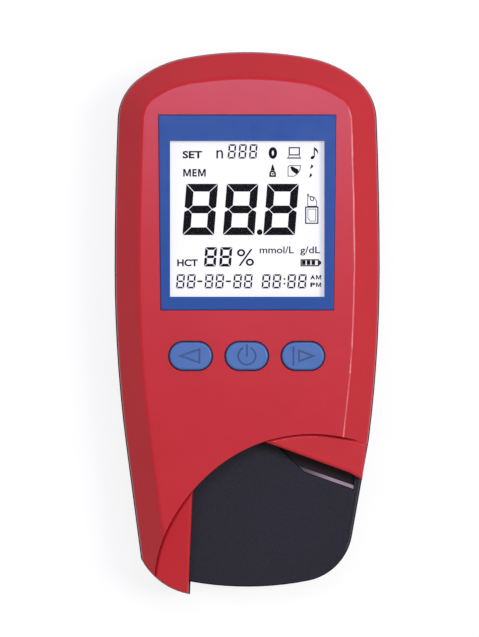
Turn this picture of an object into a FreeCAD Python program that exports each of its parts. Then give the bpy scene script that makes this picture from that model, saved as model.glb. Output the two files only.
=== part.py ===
"""Handheld hemoglobinometer, lying on its back: X across, Y towards the top end, Z out of the display.

All lengths are in millimetres and all angles in degrees.
"""

import FreeCAD, Part
import math
import os

from FreeCAD import Vector

# Case outline, seen from the front
CASE_TOP_Y = 65.1
CASE_HALF_WIDTH = 31.65
WIDEST_Y = 13.3
END_ARC_RADIUS = 79.0
END_ARC_ANGLE = 11.15
SHOULDER_ARC_RADIUS = 25.6
CORNER_ARC_RADIUS = 12.3
SIDE_ARC_RADIUS = 875.0
LOWER_SIDE_RADIUS = 330.0
TAPER_ANGLE = 7.5

# Lower end: the fin at the left, the deck at the right
FIN_TIP = (-14.2, -65.1)
FIN_ARC_VIA = (-21.1, -61.9)
FIN_CORNER = (-25.0, -57.3)
FIN_TOP = (-13.1, -40.2)
DECK_SIDE_SETBACK = 4.3
DECK_SIDE_Y = -37.7
DECK_SIDE_ANGLE = 10.0
DECK_END_Y = -63.35
DECK_END_RADIUS = 76.0
DECK_LEFT_X = -15.3
DECK_CORNER_RADIUS = 13.0
SWEEP_POINTS = [
    (-22.3, -64.5),
    (-20.2, -51.8),
    (-13.1, -40.2),
    (-5.0, -32.9),
    (4.0, -28.45),
    (15.2, -26.6),
    (24.9, -27.8),
    (36.0, -32.5),
]
APEX = (4.0, -28.45)
WING_EDGE_ANGLE = -20.1
WING_STRAIGHT = 22.0
WING_END_ANGLE = -30.0
FAR = 90.0

# Levels and walls
FOOT_HEIGHT = 1.0
REAR_DEPTH = 9.0
FRONT_SIDE_HEIGHT = 8.2
CROWN_RISE = 6.2
CROWN_RADIUS = 600.0
RIDGE_ROUNDING = 1.3
SHOULDER_ROUNDING = 1.6
BAND_SPARE = 1.0
STEP_DROP = 0.9
STEP_SETBACK = 0.15
FACET_ROUNDING = 0.7
FACET_ROOF = 1.8
FIN_FALL = 12.0
FIN_TILT = -5.0
WING_FALL = 3.0
WING_TILT = 6.0
WALL = 1.6
ROOF = 2.2
FLOOR = 1.8
BACK_EDGE_RADIUS = 3.0
SEAM_BEAD_REACH = 0.4
SEAM_BEAD_HEIGHT = 1.4
LIP_GAP = 0.1
LIP_THICKNESS = 0.8
LIP_HEIGHT = 1.2
CURTAIN = 1.6
FACE_GAP = 0.15

# Deck of the nose cover
DECK_Z = 15.4
DECK_SLOPE = 3.5
DECK_PLATE = 1.6
DECK_EDGE_RADIUS = 1.5
FLANGE_REACH = 5.0

# Strip port and strip guide: offsets count from the strip's centre line along x
RECESS_TIP_OFFSET = (-11.6, -29.3)
RECESS_ELBOW_OFFSET = (-4.6, -36.0)
RECESS_FOOT_OFFSET = (7.4, -40.2)
RECESS_FLOOR_Z = 12.4
RECESS_WALL = 1.4
RECESS_PLATE = 1.0
MOUTH_SIDE_GAP = 0.5
MOUTH_TOP_Z = 19.4
STRIP_SETBACK = 13.3
STRIP_SLOT_WIDTH = 10.0
STRIP_SLOT_HEIGHT = 1.6
GUIDE_WIDTH = 11.6
GUIDE_FRONT_Y = -29.7
GUIDE_BACK_Y = -13.8
GUIDE_FLOOR = 0.8
GUIDE_ROOF = 2.6
GUIDE_LIP = 0.8
GUIDE_LIP_TOP_Z = 14.5
GUIDE_GAP = 0.2

# Optics
SPOT_Y = -22.0
SPOT_RADIUS = 2.4
OPTICS_WIDTH = 11.0
OPTICS_LENGTH = 13.0
OPTICS_BOARD_WIDTH = 11.8
OPTICS_BOARD_LENGTH = 17.0
OPTICS_BOARD_LEAD = 1.0
OPTICS_BOARD_THICKNESS = 1.0
OPTICS_BOARD_LIFT = 0.8
POST_RADIUS = 1.2
POST_SETBACK = 1.5
OPTICS_WINDOW_RADIUS = 3.5
OPTICS_WINDOW_THICKNESS = 1.0
EMITTER_OFFSET = 4.5
EMITTER_SIZE = (2.0, 1.3, 1.0)
LIGHT_CHANNEL_RADIUS = 0.9
CHIP_POCKET_GAP = 0.3

# Display
BEZEL_TOP_HALF_WIDTH = 21.3
BEZEL_BOTTOM_HALF_WIDTH = 20.75
BEZEL_BOTTOM_Y = 3.1
BEZEL_TOP_Y = 49.9
BEZEL_CORNER = 0.3
BEZEL_RIM_ROUNDING = 0.25
BEZEL_THICKNESS = 1.2
BEZEL_SINK = 0.1
BEZEL_GAP = 0.1
WINDOW_HALF_WIDTH = 18.5
WINDOW_BOTTOM_Y = 6.3
WINDOW_TOP_Y = 43.65
LENS_GAP = 0.04
LENS_FLANGE = 0.9
LENS_FLANGE_THICKNESS = 0.6
APERTURE_MARGIN = 1.1
LCD_AIR = 0.2
LCD_PLATE = 0.75
LCD_MARGIN = 0.9
LCD_LEDGE = 2.6
BACKLIGHT_THICKNESS = 1.6
LCD_FRAME_WALL = 1.6
LCD_FRAME_GAP = 0.15
LCD_FRAME_TOP_GAP = 0.5
CONNECTOR_THICKNESS = 1.8

# Figures and marks on the display: lower left corner, size, stroke and pitch of each group
INK_THICKNESS = 0.06
INK_GAP = 0.12
FIGURE_SLANT = 4.5
RESULT_PLACE = (-15.55, 21.1)
RESULT_SIZE = (8.55, 12.3)
RESULT_STROKE = 1.85
RESULT_PITCH = 9.7
POINT_PLACE = (3.0, 21.8)
POINT_RADIUS = 0.68
COUNT_PLACE = (-4.7, 39.45)
COUNT_SIZE = (2.1, 3.45)
COUNT_PITCH = 2.55
RATIO_PLACE = (-10.4, 13.55)
RATIO_SIZE = (3.2, 4.65)
RATIO_STROKE = 0.66
RATIO_PITCH = 3.65
CLOCK_PLACE = (-17.1, 8.3)
CLOCK_SIZE = (2.2, 3.4)
CLOCK_PITCH = 2.57
CLOCK_GROUP_PITCH = 6.84
CLOCK_TIME_X = 3.45
CLOCK_MINUTES_X = 9.55
FINE_STROKE = 0.4
DASH_SIZE = (1.2, 0.4)
BATTERY_MARK = (12.8, 13.6, 4.4, 1.7)
STRIP_MARK = (13.9, 23.8, 3.2, 4.15)
SCREEN_MARK = (9.95, 40.2, 2.7, 2.0)
MARK_FRAME = 0.28

# Keys
KEY_ROW_X = -0.1
KEY_ROW_Y = -7.9
KEY_PITCH = 13.46
KEY_LENGTH = 10.3
KEY_WIDTH = 6.8
KEY_PROUD = 0.6
KEY_EDGE_RADIUS = 0.5
KEY_GAP = 0.25
KEY_FLANGE = 1.0
KEY_FLANGE_THICKNESS = 0.9
KEY_REST_GAP = 0.1
KEY_TRAVEL = 0.5
KEY_POST_RADIUS = 1.5
KEY_GROOVE_WIDTH = 0.42
KEY_GROOVE_DEPTH = 0.2
SWITCH_SIDE = 6.0
SWITCH_HEIGHT = 3.2
PLUNGER_RADIUS = 1.6
PLUNGER_PROUD = 0.65
PLUNGER_SUNK = 0.7
PLUNGER_GAP = 0.06

# Parts on the main board: centre and size
CONTROLLER_PLACE = (-4.0, 28.0)
CONTROLLER_SIZE = (10.0, 10.0, 1.2)
MEMORY_PLACE = (9.0, 30.0)
MEMORY_SIZE = (5.0, 6.0, 1.2)
CRYSTAL_PLACE = (-4.0, 18.0)
CRYSTAL_SIZE = (6.0, 2.4, 1.4)
INDUCTOR_PLACE = (9.0, 18.0)
INDUCTOR_SIZE = (5.0, 5.0, 2.2)
RADIO_GAP = 1.0
RADIO_Y = 30.0
RADIO_SIZE = (9.0, 15.0, 2.2)
BUZZER_GAP = 1.0
BUZZER_Y = 32.0
BUZZER_RADIUS = 4.6
BUZZER_HEIGHT = 3.6
BUZZER_HOLE_RADIUS = 1.0
CHIP_CORNER = 0.3

# Ribbon between the two boards
FLEX_OFFSET = -0.8
FLEX_WIDTH = 5.4
FLEX_THICKNESS = 0.2
FLEX_BEND = 1.4
FLEX_SETBACK = 1.3
CONNECTOR_DEPTH = 2.4
CONNECTOR_HEIGHT = 1.6
CONNECTOR_MARGIN = 0.5

# Batteries, their bay and its door
BATTERY_RADIUS = 5.25
BATTERY_BODY_LENGTH = 43.5
BATTERY_NUB_RADIUS = 1.9
BATTERY_NUB_LENGTH = 1.0
BATTERY_SPACING = 0.6
BATTERY_SIDE_GAP = 0.4
BATTERY_DOOR_GAP = 0.35
BATTERY_ROOF_GAP = 0.2
SPRING_LENGTH = 4.6
SPRING_RADIUS = 2.7
SPRING_WIRE_RADIUS = 0.25
SPRING_TURNS = 4
CONTACT_THICKNESS = 0.4
CONTACT_HEIGHT = 8.0
CONTACT_WIDTH = 8.0
CONTACT_TAB_WIDTH = 2.4
BAY_CENTRE_Y = 21.0
BAY_WALL = 1.6
BAY_ROOF = 1.0
DOOR_THICKNESS = 1.5
DOOR_GAP = 0.15
DOOR_POST_DEPTH = 1.2
DOOR_TAB_X = 7.0
DOOR_TAB_WIDTH = 3.0
DOOR_TAB_REACH = 2.4
DOOR_TAB_THICKNESS = 1.0
DOOR_TAB_LIFT = 0.15
DOOR_WINDOW_HEIGHT = 3.6
LATCH_WIDTH = 9.0
LATCH_LENGTH = 5.0
LATCH_THICKNESS = 1.0
LATCH_GRIP_WIDTH = 7.0

# Boards and fasteners
BOARD_THICKNESS = 1.6
BOARD_GAP = 0.2
BOARD_SETBACK = 3.4
BOARD_BOTTOM_Y = -13.4
BOSS_SETBACK = 7.3
TOP_BOSS_DROP = 14.5
LOWER_BOSS_Y = -9.0
FIN_BOSS_SETBACK = 11.7
FIN_BOSS_Y = -44.5
NOSE_BOSSES = [(-6.5, -50.5), (18.5, -47.0)]
BOSS_RADIUS = 3.0
SCREW_SHANK_RADIUS = 1.2
SCREW_HEAD_RADIUS = 2.2
SCREW_HEAD_HEIGHT = 1.6
SCREW_SHANK_LENGTH = 12.0
NOSE_SCREW_LENGTH = 6.5
SCREW_GAP = 0.06
SCREW_SEAT_DEPTH = 5.0
NOSE_SEAT_DEPTH = 3.0
DRIVE_SLOT = 0.5
FOOT_RADIUS = 4.0
FOOT_SUNK = 0.6
TOP_FOOT_SETBACK = 15.1
TOP_FOOT_DROP = 10.5
LEFT_FOOT = (-17.6, -54.2)
RIGHT_FOOT = (14.0, -54.8)

# Worked out from the sizes above
BACK_Z = FOOT_HEIGHT
PARTING_Z = BACK_Z + REAR_DEPTH
SHOULDER_Z = PARTING_Z + FRONT_SIDE_HEIGHT
CROWN_Z = SHOULDER_Z + CROWN_RISE
FLOOR_Z = BACK_Z + FLOOR
DOOR_Z = BACK_Z + DOOR_THICKNESS
BATTERY_Z = DOOR_Z + BATTERY_DOOR_GAP + BATTERY_RADIUS
BAY_ROOF_Z = BATTERY_Z + BATTERY_RADIUS + BATTERY_ROOF_GAP
BOARD_Z = BAY_ROOF_Z + BAY_ROOF + BOARD_GAP
BOARD_TOP_Z = BOARD_Z + BOARD_THICKNESS
BEZEL_Z = CROWN_Z - BEZEL_SINK - BEZEL_THICKNESS
LENS_Z = BEZEL_Z - LENS_FLANGE_THICKNESS
LCD_FACE_Z = LENS_Z - LCD_AIR
LCD_BACK_Z = LCD_FACE_Z - 2 * LCD_PLATE
BACKLIGHT_Z = LCD_BACK_Z - BACKLIGHT_THICKNESS
BAY_HALF_WIDTH = 2 * BATTERY_RADIUS + BATTERY_SPACING / 2 + BATTERY_SIDE_GAP
BATTERY_X = BATTERY_RADIUS + BATTERY_SPACING / 2
BAY_LENGTH = 2 * CONTACT_THICKNESS + SPRING_LENGTH + BATTERY_BODY_LENGTH + BATTERY_NUB_LENGTH
BAY_TOP_Y = BAY_CENTRE_Y + BAY_LENGTH / 2
BAY_BOTTOM_Y = BAY_CENTRE_Y - BAY_LENGTH / 2
SWITCH_TOP_Z = BOARD_TOP_Z + SWITCH_HEIGHT
PLUNGER_TOP_Z = SWITCH_TOP_Z + PLUNGER_PROUD
SCREW_SEAT_Z = BACK_Z + SCREW_SEAT_DEPTH
NOSE_SEAT_Z = BACK_Z + NOSE_SEAT_DEPTH
DECK_SIDE_X = CASE_HALF_WIDTH - DECK_SIDE_SETBACK
STRIP_X = CASE_HALF_WIDTH - STRIP_SETBACK
RECESS_TIP = (STRIP_X + RECESS_TIP_OFFSET[0], RECESS_TIP_OFFSET[1])
RECESS_ELBOW = (STRIP_X + RECESS_ELBOW_OFFSET[0], RECESS_ELBOW_OFFSET[1])
RECESS_FOOT = (STRIP_X + RECESS_FOOT_OFFSET[0], RECESS_FOOT_OFFSET[1])
FLEX_X = STRIP_X + FLEX_OFFSET
TOP_BOSS = (CASE_HALF_WIDTH - BOSS_SETBACK, CASE_TOP_Y - TOP_BOSS_DROP)
LOWER_BOSS = (CASE_HALF_WIDTH - BOSS_SETBACK, LOWER_BOSS_Y)
FIN_BOSS = (FIN_BOSS_SETBACK - CASE_HALF_WIDTH, FIN_BOSS_Y)
TOP_FOOT = (CASE_HALF_WIDTH - TOP_FOOT_SETBACK, CASE_TOP_Y - TOP_FOOT_DROP)
RADIO_PLACE = (-(BAY_HALF_WIDTH + BAY_WALL + RADIO_GAP + RADIO_SIZE[0] / 2), RADIO_Y)
BUZZER_PLACE = (BAY_HALF_WIDTH + BAY_WALL + BUZZER_GAP + BUZZER_RADIUS, BUZZER_Y)
LIP_OUTER = WALL + LIP_GAP
LIP_INNER = LIP_OUTER + LIP_THICKNESS
OPTICS_BOARD_Z = FLOOR_Z + OPTICS_BOARD_LIFT
OPTICS_BOARD_TOP_Z = OPTICS_BOARD_Z + OPTICS_BOARD_THICKNESS


def at(angle):
    """Unit vector in the plan at an angle from +X."""
    return Vector(math.cos(math.radians(angle)), math.sin(math.radians(angle)), 0)


def plan(point, z=0.0):
    return Vector(point[0], point[1], z)


def across(point):
    """The point mirrored to the other side of the case."""
    return Vector(-point.x, point.y, point.z)


def line(start, end):
    return Part.LineSegment(start, end).toShape()


def arc(start, via, end):
    return Part.Arc(start, via, end).toShape()


def face_of(edges):
    return Part.Face(Part.Wire(edges))


def polygon(points):
    corners = [plan(p) for p in points]
    return face_of([line(a, b) for a, b in zip(corners, corners[1:] + corners[:1])])


def prism(face, bottom_z, top_z):
    solid = face.extrude(Vector(0, 0, top_z - bottom_z))
    solid.translate(Vector(0, 0, bottom_z))
    return solid


def block(x_low, x_high, y_low, y_high, z_low, z_high):
    size = (x_high - x_low, y_high - y_low, z_high - z_low)
    return Part.makeBox(*size, Vector(x_low, y_low, z_low))


def rod(radius, bottom_z, top_z, centre):
    return Part.makeCylinder(radius, top_z - bottom_z, plan(centre, bottom_z))


def joined(shapes):
    return shapes[0].fuse(shapes[1:]).removeSplitter() if len(shapes) > 1 else shapes[0]


def rounded_plate(x_low, x_high, y_low, y_high, z_low, z_high, radius):
    plate = block(x_low, x_high, y_low, y_high, z_low, z_high)
    upright = [e for e in plate.Edges if abs(e.tangentAt(e.FirstParameter).z) > 0.5]
    return plate.makeFillet(radius, upright)


def circle_meeting(centre_a, radius_a, centre_b, radius_b):
    """Upper point at the two given distances from two centres."""
    gap = centre_b - centre_a
    along = (gap.Length**2 + radius_a**2 - radius_b**2) / (2 * gap.Length)
    aside = math.sqrt(radius_a**2 - along**2)
    ahead = Vector(gap).normalize()
    sideways = Vector(-ahead.y, ahead.x, 0)
    found = [centre_a + ahead * along + sideways * side * aside for side in (1, -1)]
    return max(found, key=lambda point: point.y)


def crown_sag(x):
    return CROWN_RADIUS - math.sqrt(CROWN_RADIUS**2 - x**2)


def case_arcs():
    """Centres, radii and end directions of the right half's arcs, from the top end down."""
    end_way = at(90 - END_ARC_ANGLE)
    end_centre = Vector(0, CASE_TOP_Y - END_ARC_RADIUS, 0)
    shoulder_centre = end_centre + end_way * (END_ARC_RADIUS - SHOULDER_ARC_RADIUS)
    side_centre = Vector(CASE_HALF_WIDTH - SIDE_ARC_RADIUS, WIDEST_Y, 0)
    corner_centre = circle_meeting(
        side_centre,
        SIDE_ARC_RADIUS - CORNER_ARC_RADIUS,
        shoulder_centre,
        SHOULDER_ARC_RADIUS - CORNER_ARC_RADIUS,
    )
    lower_centre = Vector(CASE_HALF_WIDTH - LOWER_SIDE_RADIUS, WIDEST_Y, 0)
    corner_way = (corner_centre - shoulder_centre).normalize()
    side_way = (corner_centre - side_centre).normalize()
    return [
        (end_centre, END_ARC_RADIUS, Vector(0, 1, 0), end_way),
        (shoulder_centre, SHOULDER_ARC_RADIUS, end_way, corner_way),
        (corner_centre, CORNER_ARC_RADIUS, corner_way, side_way),
        (side_centre, SIDE_ARC_RADIUS, side_way, Vector(1, 0, 0)),
        (lower_centre, LOWER_SIDE_RADIUS, Vector(1, 0, 0), at(-TAPER_ANGLE)),
    ]


def case_face(inset=0.0):
    """The case outline, drawn in by an inset, with its tapered sides run on past the lower end."""
    right = []
    for centre, radius, first, last in case_arcs():
        middle = (first + last).normalize()
        reach = radius - inset
        right.append([centre + way * reach for way in (first, middle, last)])
    taper_start = right[-1][2]
    taper_length = (taper_start.y + FAR) / math.cos(math.radians(TAPER_ANGLE))
    taper_end = taper_start + at(-90 - TAPER_ANGLE) * taper_length
    left = [[across(point) for point in reversed(points)] for points in reversed(right[1:])]
    edges = [arc(across(right[0][2]), right[0][0], right[0][2])]
    edges += [arc(*points) for points in right[1:]]
    edges.append(line(taper_start, taper_end))
    edges.append(line(taper_end, across(taper_end)))
    edges.append(line(across(taper_end), across(taper_start)))
    edges += [arc(*points) for points in left]
    return face_of(edges)


def end_face(inset=0.0):
    """Everything above the fin's lower arc and the tangents at its ends."""
    tip, via, corner = plan(FIN_TIP), plan(FIN_ARC_VIA), plan(FIN_CORNER)
    circle = arc(tip, via, corner).Curve
    centre, radius = circle.Center, circle.Radius
    tip, via, corner = [centre + (p - centre) * ((radius - inset) / radius) for p in (tip, via, corner)]
    tip_way = Vector(centre.y - tip.y, tip.x - centre.x, 0).normalize()
    corner_way = Vector(corner.y - centre.y, centre.x - corner.x, 0).normalize()
    far_right = tip + tip_way * FAR
    far_left = corner + corner_way * FAR
    corners = [far_left, Vector(far_left.x, 2 * FAR, 0), Vector(far_right.x, 2 * FAR, 0), far_right]
    edges = [line(far_right, tip), arc(tip, via, corner), line(corner, far_left)]
    return face_of(edges + [line(a, b) for a, b in zip(corners, corners[1:])])


def right_of_fin(offset=0.0):
    """Everything to the right of the fin's inner edge, moved outwards by an offset."""
    tip, top = plan(FIN_TIP), plan(FIN_TOP)
    along = (top - tip).normalize()
    aside = Vector(-along.y, along.x, 0) * offset
    low = tip - along * FAR + aside
    high = top + along * FAR + aside
    far_side = Vector(2 * FAR, 0, 0)
    return polygon([low, low + far_side, high + far_side, high])


def wing_edges():
    """A point and the angle of each stretch of the wing's edge, which turns down near its right end."""
    bend = plan(APEX) + at(WING_EDGE_ANGLE) * WING_STRAIGHT
    return [(plan(APEX), WING_EDGE_ANGLE), (bend, WING_END_ANGLE)]


def below_line(point, angle, offset=0.0):
    """Everything below a straight line, moved outwards by an offset."""
    along = at(angle)
    aside = Vector(-along.y, along.x, 0) * offset
    left = point - along * FAR + aside
    right = point + along * FAR + aside
    down = Vector(0, -2 * FAR, 0)
    return polygon([left, left + down, right + down, right])


def sweep_curve(offset=0.0):
    """The swept step line, moved up and to the left by an offset."""
    base = Part.BSplineCurve()
    base.interpolate([plan(p) for p in SWEEP_POINTS])
    if offset == 0.0:
        return base
    moved = []
    for point in SWEEP_POINTS:
        tangent = base.tangent(base.parameter(plan(point)))[0]
        moved.append(plan(point) + Vector(-tangent.y, tangent.x, 0).normalize() * offset)
    curve = Part.BSplineCurve()
    curve.interpolate(moved)
    return curve


def below_sweep(offset=0.0):
    curve = sweep_curve(offset)
    start, end = curve.StartPoint, curve.EndPoint
    far_right = Vector(FAR, end.y, 0)
    corners = [end, far_right, Vector(FAR, -2 * FAR, 0), Vector(start.x, -2 * FAR, 0), start]
    return face_of([curve.toShape()] + [line(a, b) for a, b in zip(corners, corners[1:])])


def deck_zone(offset=0.0):
    """The plan that the front cover leaves free for the deck, grown by an offset."""
    low, high = BACK_Z - 1, CROWN_Z + BAND_SPARE + 1
    zone = prism(below_sweep(offset), low, high)
    zone = zone.common(prism(right_of_fin(offset), low, high))
    for point, angle in wing_edges():
        zone = zone.common(prism(below_line(point, angle, offset), low, high))
    return zone


def deck_arcs(inset=0.0):
    """Edges of the deck's side, corner and lower end."""
    side_foot = Vector(DECK_SIDE_X, DECK_SIDE_Y, 0)
    side_way = at(-90 - DECK_SIDE_ANGLE)
    inward = Vector(side_way.y, -side_way.x, 0)
    end_centre = Vector(0, DECK_END_Y + DECK_END_RADIUS, 0)
    start = side_foot + inward * DECK_CORNER_RADIUS - end_centre
    reach = DECK_END_RADIUS - DECK_CORNER_RADIUS
    lead = start.dot(side_way)
    run = -lead + math.sqrt(lead**2 - start.Length**2 + reach**2)
    corner_centre = end_centre + start + side_way * run
    corner_radius = DECK_CORNER_RADIUS - inset
    tangent_side = corner_centre - inward * corner_radius
    end_way = (corner_centre - end_centre).normalize()
    tangent_end = corner_centre + end_way * corner_radius
    middle_way = (end_way - inward).normalize()
    side_top = tangent_side - side_way * 2 * FAR
    end_radius = DECK_END_RADIUS - inset
    end_left = end_centre + Vector(DECK_LEFT_X, -math.sqrt(end_radius**2 - DECK_LEFT_X**2), 0)
    end_middle = end_centre - Vector(0, end_radius, 0)
    return [
        line(side_top, tangent_side),
        arc(tangent_side, corner_centre + middle_way * corner_radius, tangent_end),
        arc(tangent_end, end_middle, end_left),
    ]


def deck_face(inset=0.0):
    """The deck's outline at its side and lower end, and everything above that."""
    edges = deck_arcs(inset)
    top = edges[0].Vertexes[0].Point
    left = edges[-1].Vertexes[-1].Point
    corners = [left, Vector(left.x, top.y, 0), top]
    return face_of(edges + [line(a, b) for a, b in zip(corners, corners[1:])])


def below_deck(lift=0.0):
    """Everything under the sloping deck plane, moved up by a lift."""
    slope = math.tan(math.radians(DECK_SLOPE))
    heights = [DECK_Z + lift + (y - APEX[1]) * slope for y in (-FAR, FAR)]
    corners = [
        Vector(-FAR, -FAR, -FAR),
        Vector(-FAR, FAR, -FAR),
        Vector(-FAR, FAR, heights[1]),
        Vector(-FAR, -FAR, heights[0]),
    ]
    side = face_of([line(a, b) for a, b in zip(corners, corners[1:] + corners[:1])])
    return side.extrude(Vector(2 * FAR, 0, 0))


def crowned_body(inset, drop, bottom_z, rounded):
    """The raised case with its sloping band and crowned panel."""
    band = CROWN_RISE + BAND_SPARE
    shoulder_z = SHOULDER_Z - drop
    body = prism(case_face(inset), bottom_z, shoulder_z + band)
    rim = [
        edge for edge in body.Edges
        if edge.BoundBox.ZMin > shoulder_z + band - 0.01 and edge.CenterOfMass.y > -FAR + 1
    ]
    body = body.makeChamfer(band, rim)
    axis_start = Vector(0, -2 * FAR, CROWN_Z - drop - CROWN_RADIUS)
    crown = Part.makeCylinder(CROWN_RADIUS, 4 * FAR, axis_start, Vector(0, 1, 0))
    crown.rotate(axis_start, Vector(0, 1, 0), 180)
    body = body.common(crown).Solids[0]
    if not rounded:
        return body
    shoulder = [
        edge for edge in body.Edges
        if abs(edge.BoundBox.ZMin - shoulder_z) < 0.01
        and abs(edge.BoundBox.ZMax - shoulder_z) < 0.01
        and edge.CenterOfMass.y > -FAR + 1
    ]
    body = body.makeFillet(SHOULDER_ROUNDING, shoulder)
    panel = max(body.Faces, key=lambda face: face.CenterOfMass.z)
    ridge = [edge for edge in panel.Edges if edge.CenterOfMass.y > -FAR + 1]
    return body.makeFillet(RIDGE_ROUNDING, ridge)


def below_facet(anchor, fall, tilt, drop):
    """Everything under a flat facet that falls away from its anchor towards -Y and towards +X."""
    slope_x = math.tan(math.radians(tilt))
    slope_y = math.tan(math.radians(fall))
    top_z = CROWN_Z - STEP_DROP - drop

    def height(x, y):
        return top_z - (x - anchor[0]) * slope_x + (y - anchor[1]) * slope_y

    corners = [(-FAR, -FAR), (FAR, -FAR), (FAR, FAR), (-FAR, FAR)]
    top = [Vector(x, y, height(x, y)) for x, y in corners]
    roof = face_of([line(a, b) for a, b in zip(top, top[1:] + top[:1])])
    return roof.extrude(Vector(0, 0, -FAR))


def facet_blocks(side_inset, end_inset, roof, bottom_z):
    """The fin's and the wing's plain blocks, up to their facets less a roof."""
    drops = [(FIN_TOP, FIN_FALL, FIN_TILT, -FAR, FIN_TOP[0]), (APEX, WING_FALL, WING_TILT, FIN_TOP[0], FAR)]
    blocks = []
    for anchor, fall, tilt, x_low, x_high in drops:
        body = prism(case_face(side_inset), bottom_z, CROWN_Z)
        body = body.common(below_facet(anchor, fall, tilt, roof))
        body = body.common(block(x_low, x_high, -FAR, APEX[1] + FAR, bottom_z, CROWN_Z))
        blocks.append(body.common(prism(end_face(end_inset), bottom_z, CROWN_Z)))
    return blocks


def facet_tops():
    """The fin and the wing below the swept step, with their upper rims rounded off."""
    sweep = prism(below_sweep(), PARTING_Z, CROWN_Z)
    tops = []
    for body in facet_blocks(STEP_SETBACK, 0, 0, PARTING_Z):
        body = body.common(sweep).cut(deck_zone())
        facet = max(body.Faces, key=lambda face: face.CenterOfMass.z)
        tops.append(body.makeFillet(FACET_ROUNDING, facet.Edges))
    return tops


def bezel_face(gap=0.0):
    """The display surround's outline, slightly narrower at its lower end."""
    half_top = BEZEL_TOP_HALF_WIDTH + gap
    half_bottom = BEZEL_BOTTOM_HALF_WIDTH + gap
    low, high = BEZEL_BOTTOM_Y - gap, BEZEL_TOP_Y + gap
    return polygon([(-half_bottom, low), (half_bottom, low), (half_top, high), (-half_top, high)])


def key_centres():
    return [(KEY_ROW_X + step * KEY_PITCH, KEY_ROW_Y) for step in (-1, 0, 1)]


def stadium(centre, length, width, bottom_z, top_z):
    """Upright solid with straight sides and round ends."""
    reach = (length - width) / 2
    x, y = centre
    ends = [rod(width / 2, bottom_z, top_z, (x + side * reach, y)) for side in (-1, 1)]
    middle = block(x - reach, x + reach, y - width / 2, y + width / 2, bottom_z, top_z)
    return joined([middle] + ends)


def case_boss_places():
    places = [(side * spot[0], spot[1]) for spot in (TOP_BOSS, LOWER_BOSS) for side in (-1, 1)]
    return places + [FIN_BOSS]


def foot_places():
    return [(-TOP_FOOT[0], TOP_FOOT[1]), TOP_FOOT, LEFT_FOOT, RIGHT_FOOT]


def recess_corners():
    back_y = RECESS_TIP[1]
    return [RECESS_TIP, RECESS_ELBOW, RECESS_FOOT, (RECESS_FOOT[0], back_y)]


def guide_block(gap, bottom_z, top_z):
    half = GUIDE_WIDTH / 2 + gap
    return block(STRIP_X - half, STRIP_X + half, GUIDE_FRONT_Y - gap, GUIDE_BACK_Y + gap, bottom_z, top_z)


def cover_room():
    """The space inside the front cover's walls and roof, lower under the fin and the wing."""
    room = crowned_body(WALL, ROOF, BACK_Z, False).common(prism(end_face(WALL), BACK_Z, CROWN_Z))
    lower = prism(below_sweep(WALL), BACK_Z - 1, CROWN_Z)
    facets = facet_blocks(WALL, WALL, FACET_ROOF, BACK_Z)
    return room.cut(lower).fuse([body.common(lower).common(room) for body in facets])


def front_cover():
    """Red shell: panel, band, swept step, fin and wing, with its bosses."""
    sweep = prism(below_sweep(), BACK_Z, CROWN_Z + BAND_SPARE + 1)
    upper = crowned_body(0.0, 0.0, PARTING_Z, True).cut(sweep)
    upper = upper.common(prism(end_face(), BACK_Z, CROWN_Z + 1)).cut(deck_zone())
    outer = upper.fuse(facet_tops())
    room = cover_room()
    shell = outer.cut(room.cut(deck_zone(CURTAIN)))
    for centre in case_boss_places():
        bottom = BOARD_TOP_Z + FACE_GAP
        boss = rod(BOSS_RADIUS, bottom, CROWN_Z, centre).common(outer)
        pilot_top = SCREW_SEAT_Z + SCREW_HEAD_HEIGHT + SCREW_SHANK_LENGTH + 0.4
        pilot = rod(SCREW_SHANK_RADIUS + SCREW_GAP, bottom - 1, pilot_top, centre)
        shell = shell.fuse(boss).cut(pilot)
    under_deck = below_deck(FACE_GAP).common(deck_zone(CURTAIN + FLANGE_REACH + 2 * FACE_GAP))
    interior = prism(case_face(WALL), BACK_Z, CROWN_Z).common(prism(end_face(WALL), BACK_Z, CROWN_Z))
    shell = shell.cut(under_deck.common(interior))
    half_mouth = GUIDE_WIDTH / 2 - MOUTH_SIDE_GAP
    mouth_low_y = RECESS_FOOT[1] - 1
    mouth_high_y = RECESS_TIP[1] + 2 * CURTAIN
    mouth_left_x, mouth_right_x = STRIP_X - half_mouth, STRIP_X + half_mouth
    mouth = block(mouth_left_x, mouth_right_x, mouth_low_y, mouth_high_y, PARTING_Z, MOUTH_TOP_Z)
    shell = shell.cut(mouth.common(room))
    shell = shell.cut(prism(bezel_face(BEZEL_GAP), BEZEL_Z, CROWN_Z + 1))
    aperture_half = WINDOW_HALF_WIDTH + APERTURE_MARGIN
    aperture = block(
        -aperture_half, aperture_half,
        WINDOW_BOTTOM_Y - APERTURE_MARGIN, WINDOW_TOP_Y + APERTURE_MARGIN,
        PARTING_Z, CROWN_Z,
    )
    shell = shell.cut(aperture)
    for centre in key_centres():
        hole = stadium(centre, KEY_LENGTH + 2 * KEY_GAP, KEY_WIDTH + 2 * KEY_GAP, PARTING_Z, CROWN_Z + 1)
        shell = shell.cut(hole)
    return shell


def rear_plan(inset, bottom_z, top_z):
    """The whole lower outline: case, fin and deck together."""
    fin_side = prism(end_face(inset), bottom_z, top_z).cut(prism(right_of_fin(inset), bottom_z, top_z))
    lower_end = prism(deck_face(inset), bottom_z, top_z).fuse(fin_side)
    return prism(case_face(inset), bottom_z, top_z).common(lower_end)


def rounded_back(face, top_z, keep):
    """A prism with a rounded edge at the back, on the edges that keep picks."""
    solid = prism(face, BACK_Z, top_z)
    edges = [
        edge for edge in solid.Edges
        if edge.BoundBox.ZMax < BACK_Z + 0.01 and keep(edge.CenterOfMass)
    ]
    return solid.makeFillet(BACK_EDGE_RADIUS, edges)


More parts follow.
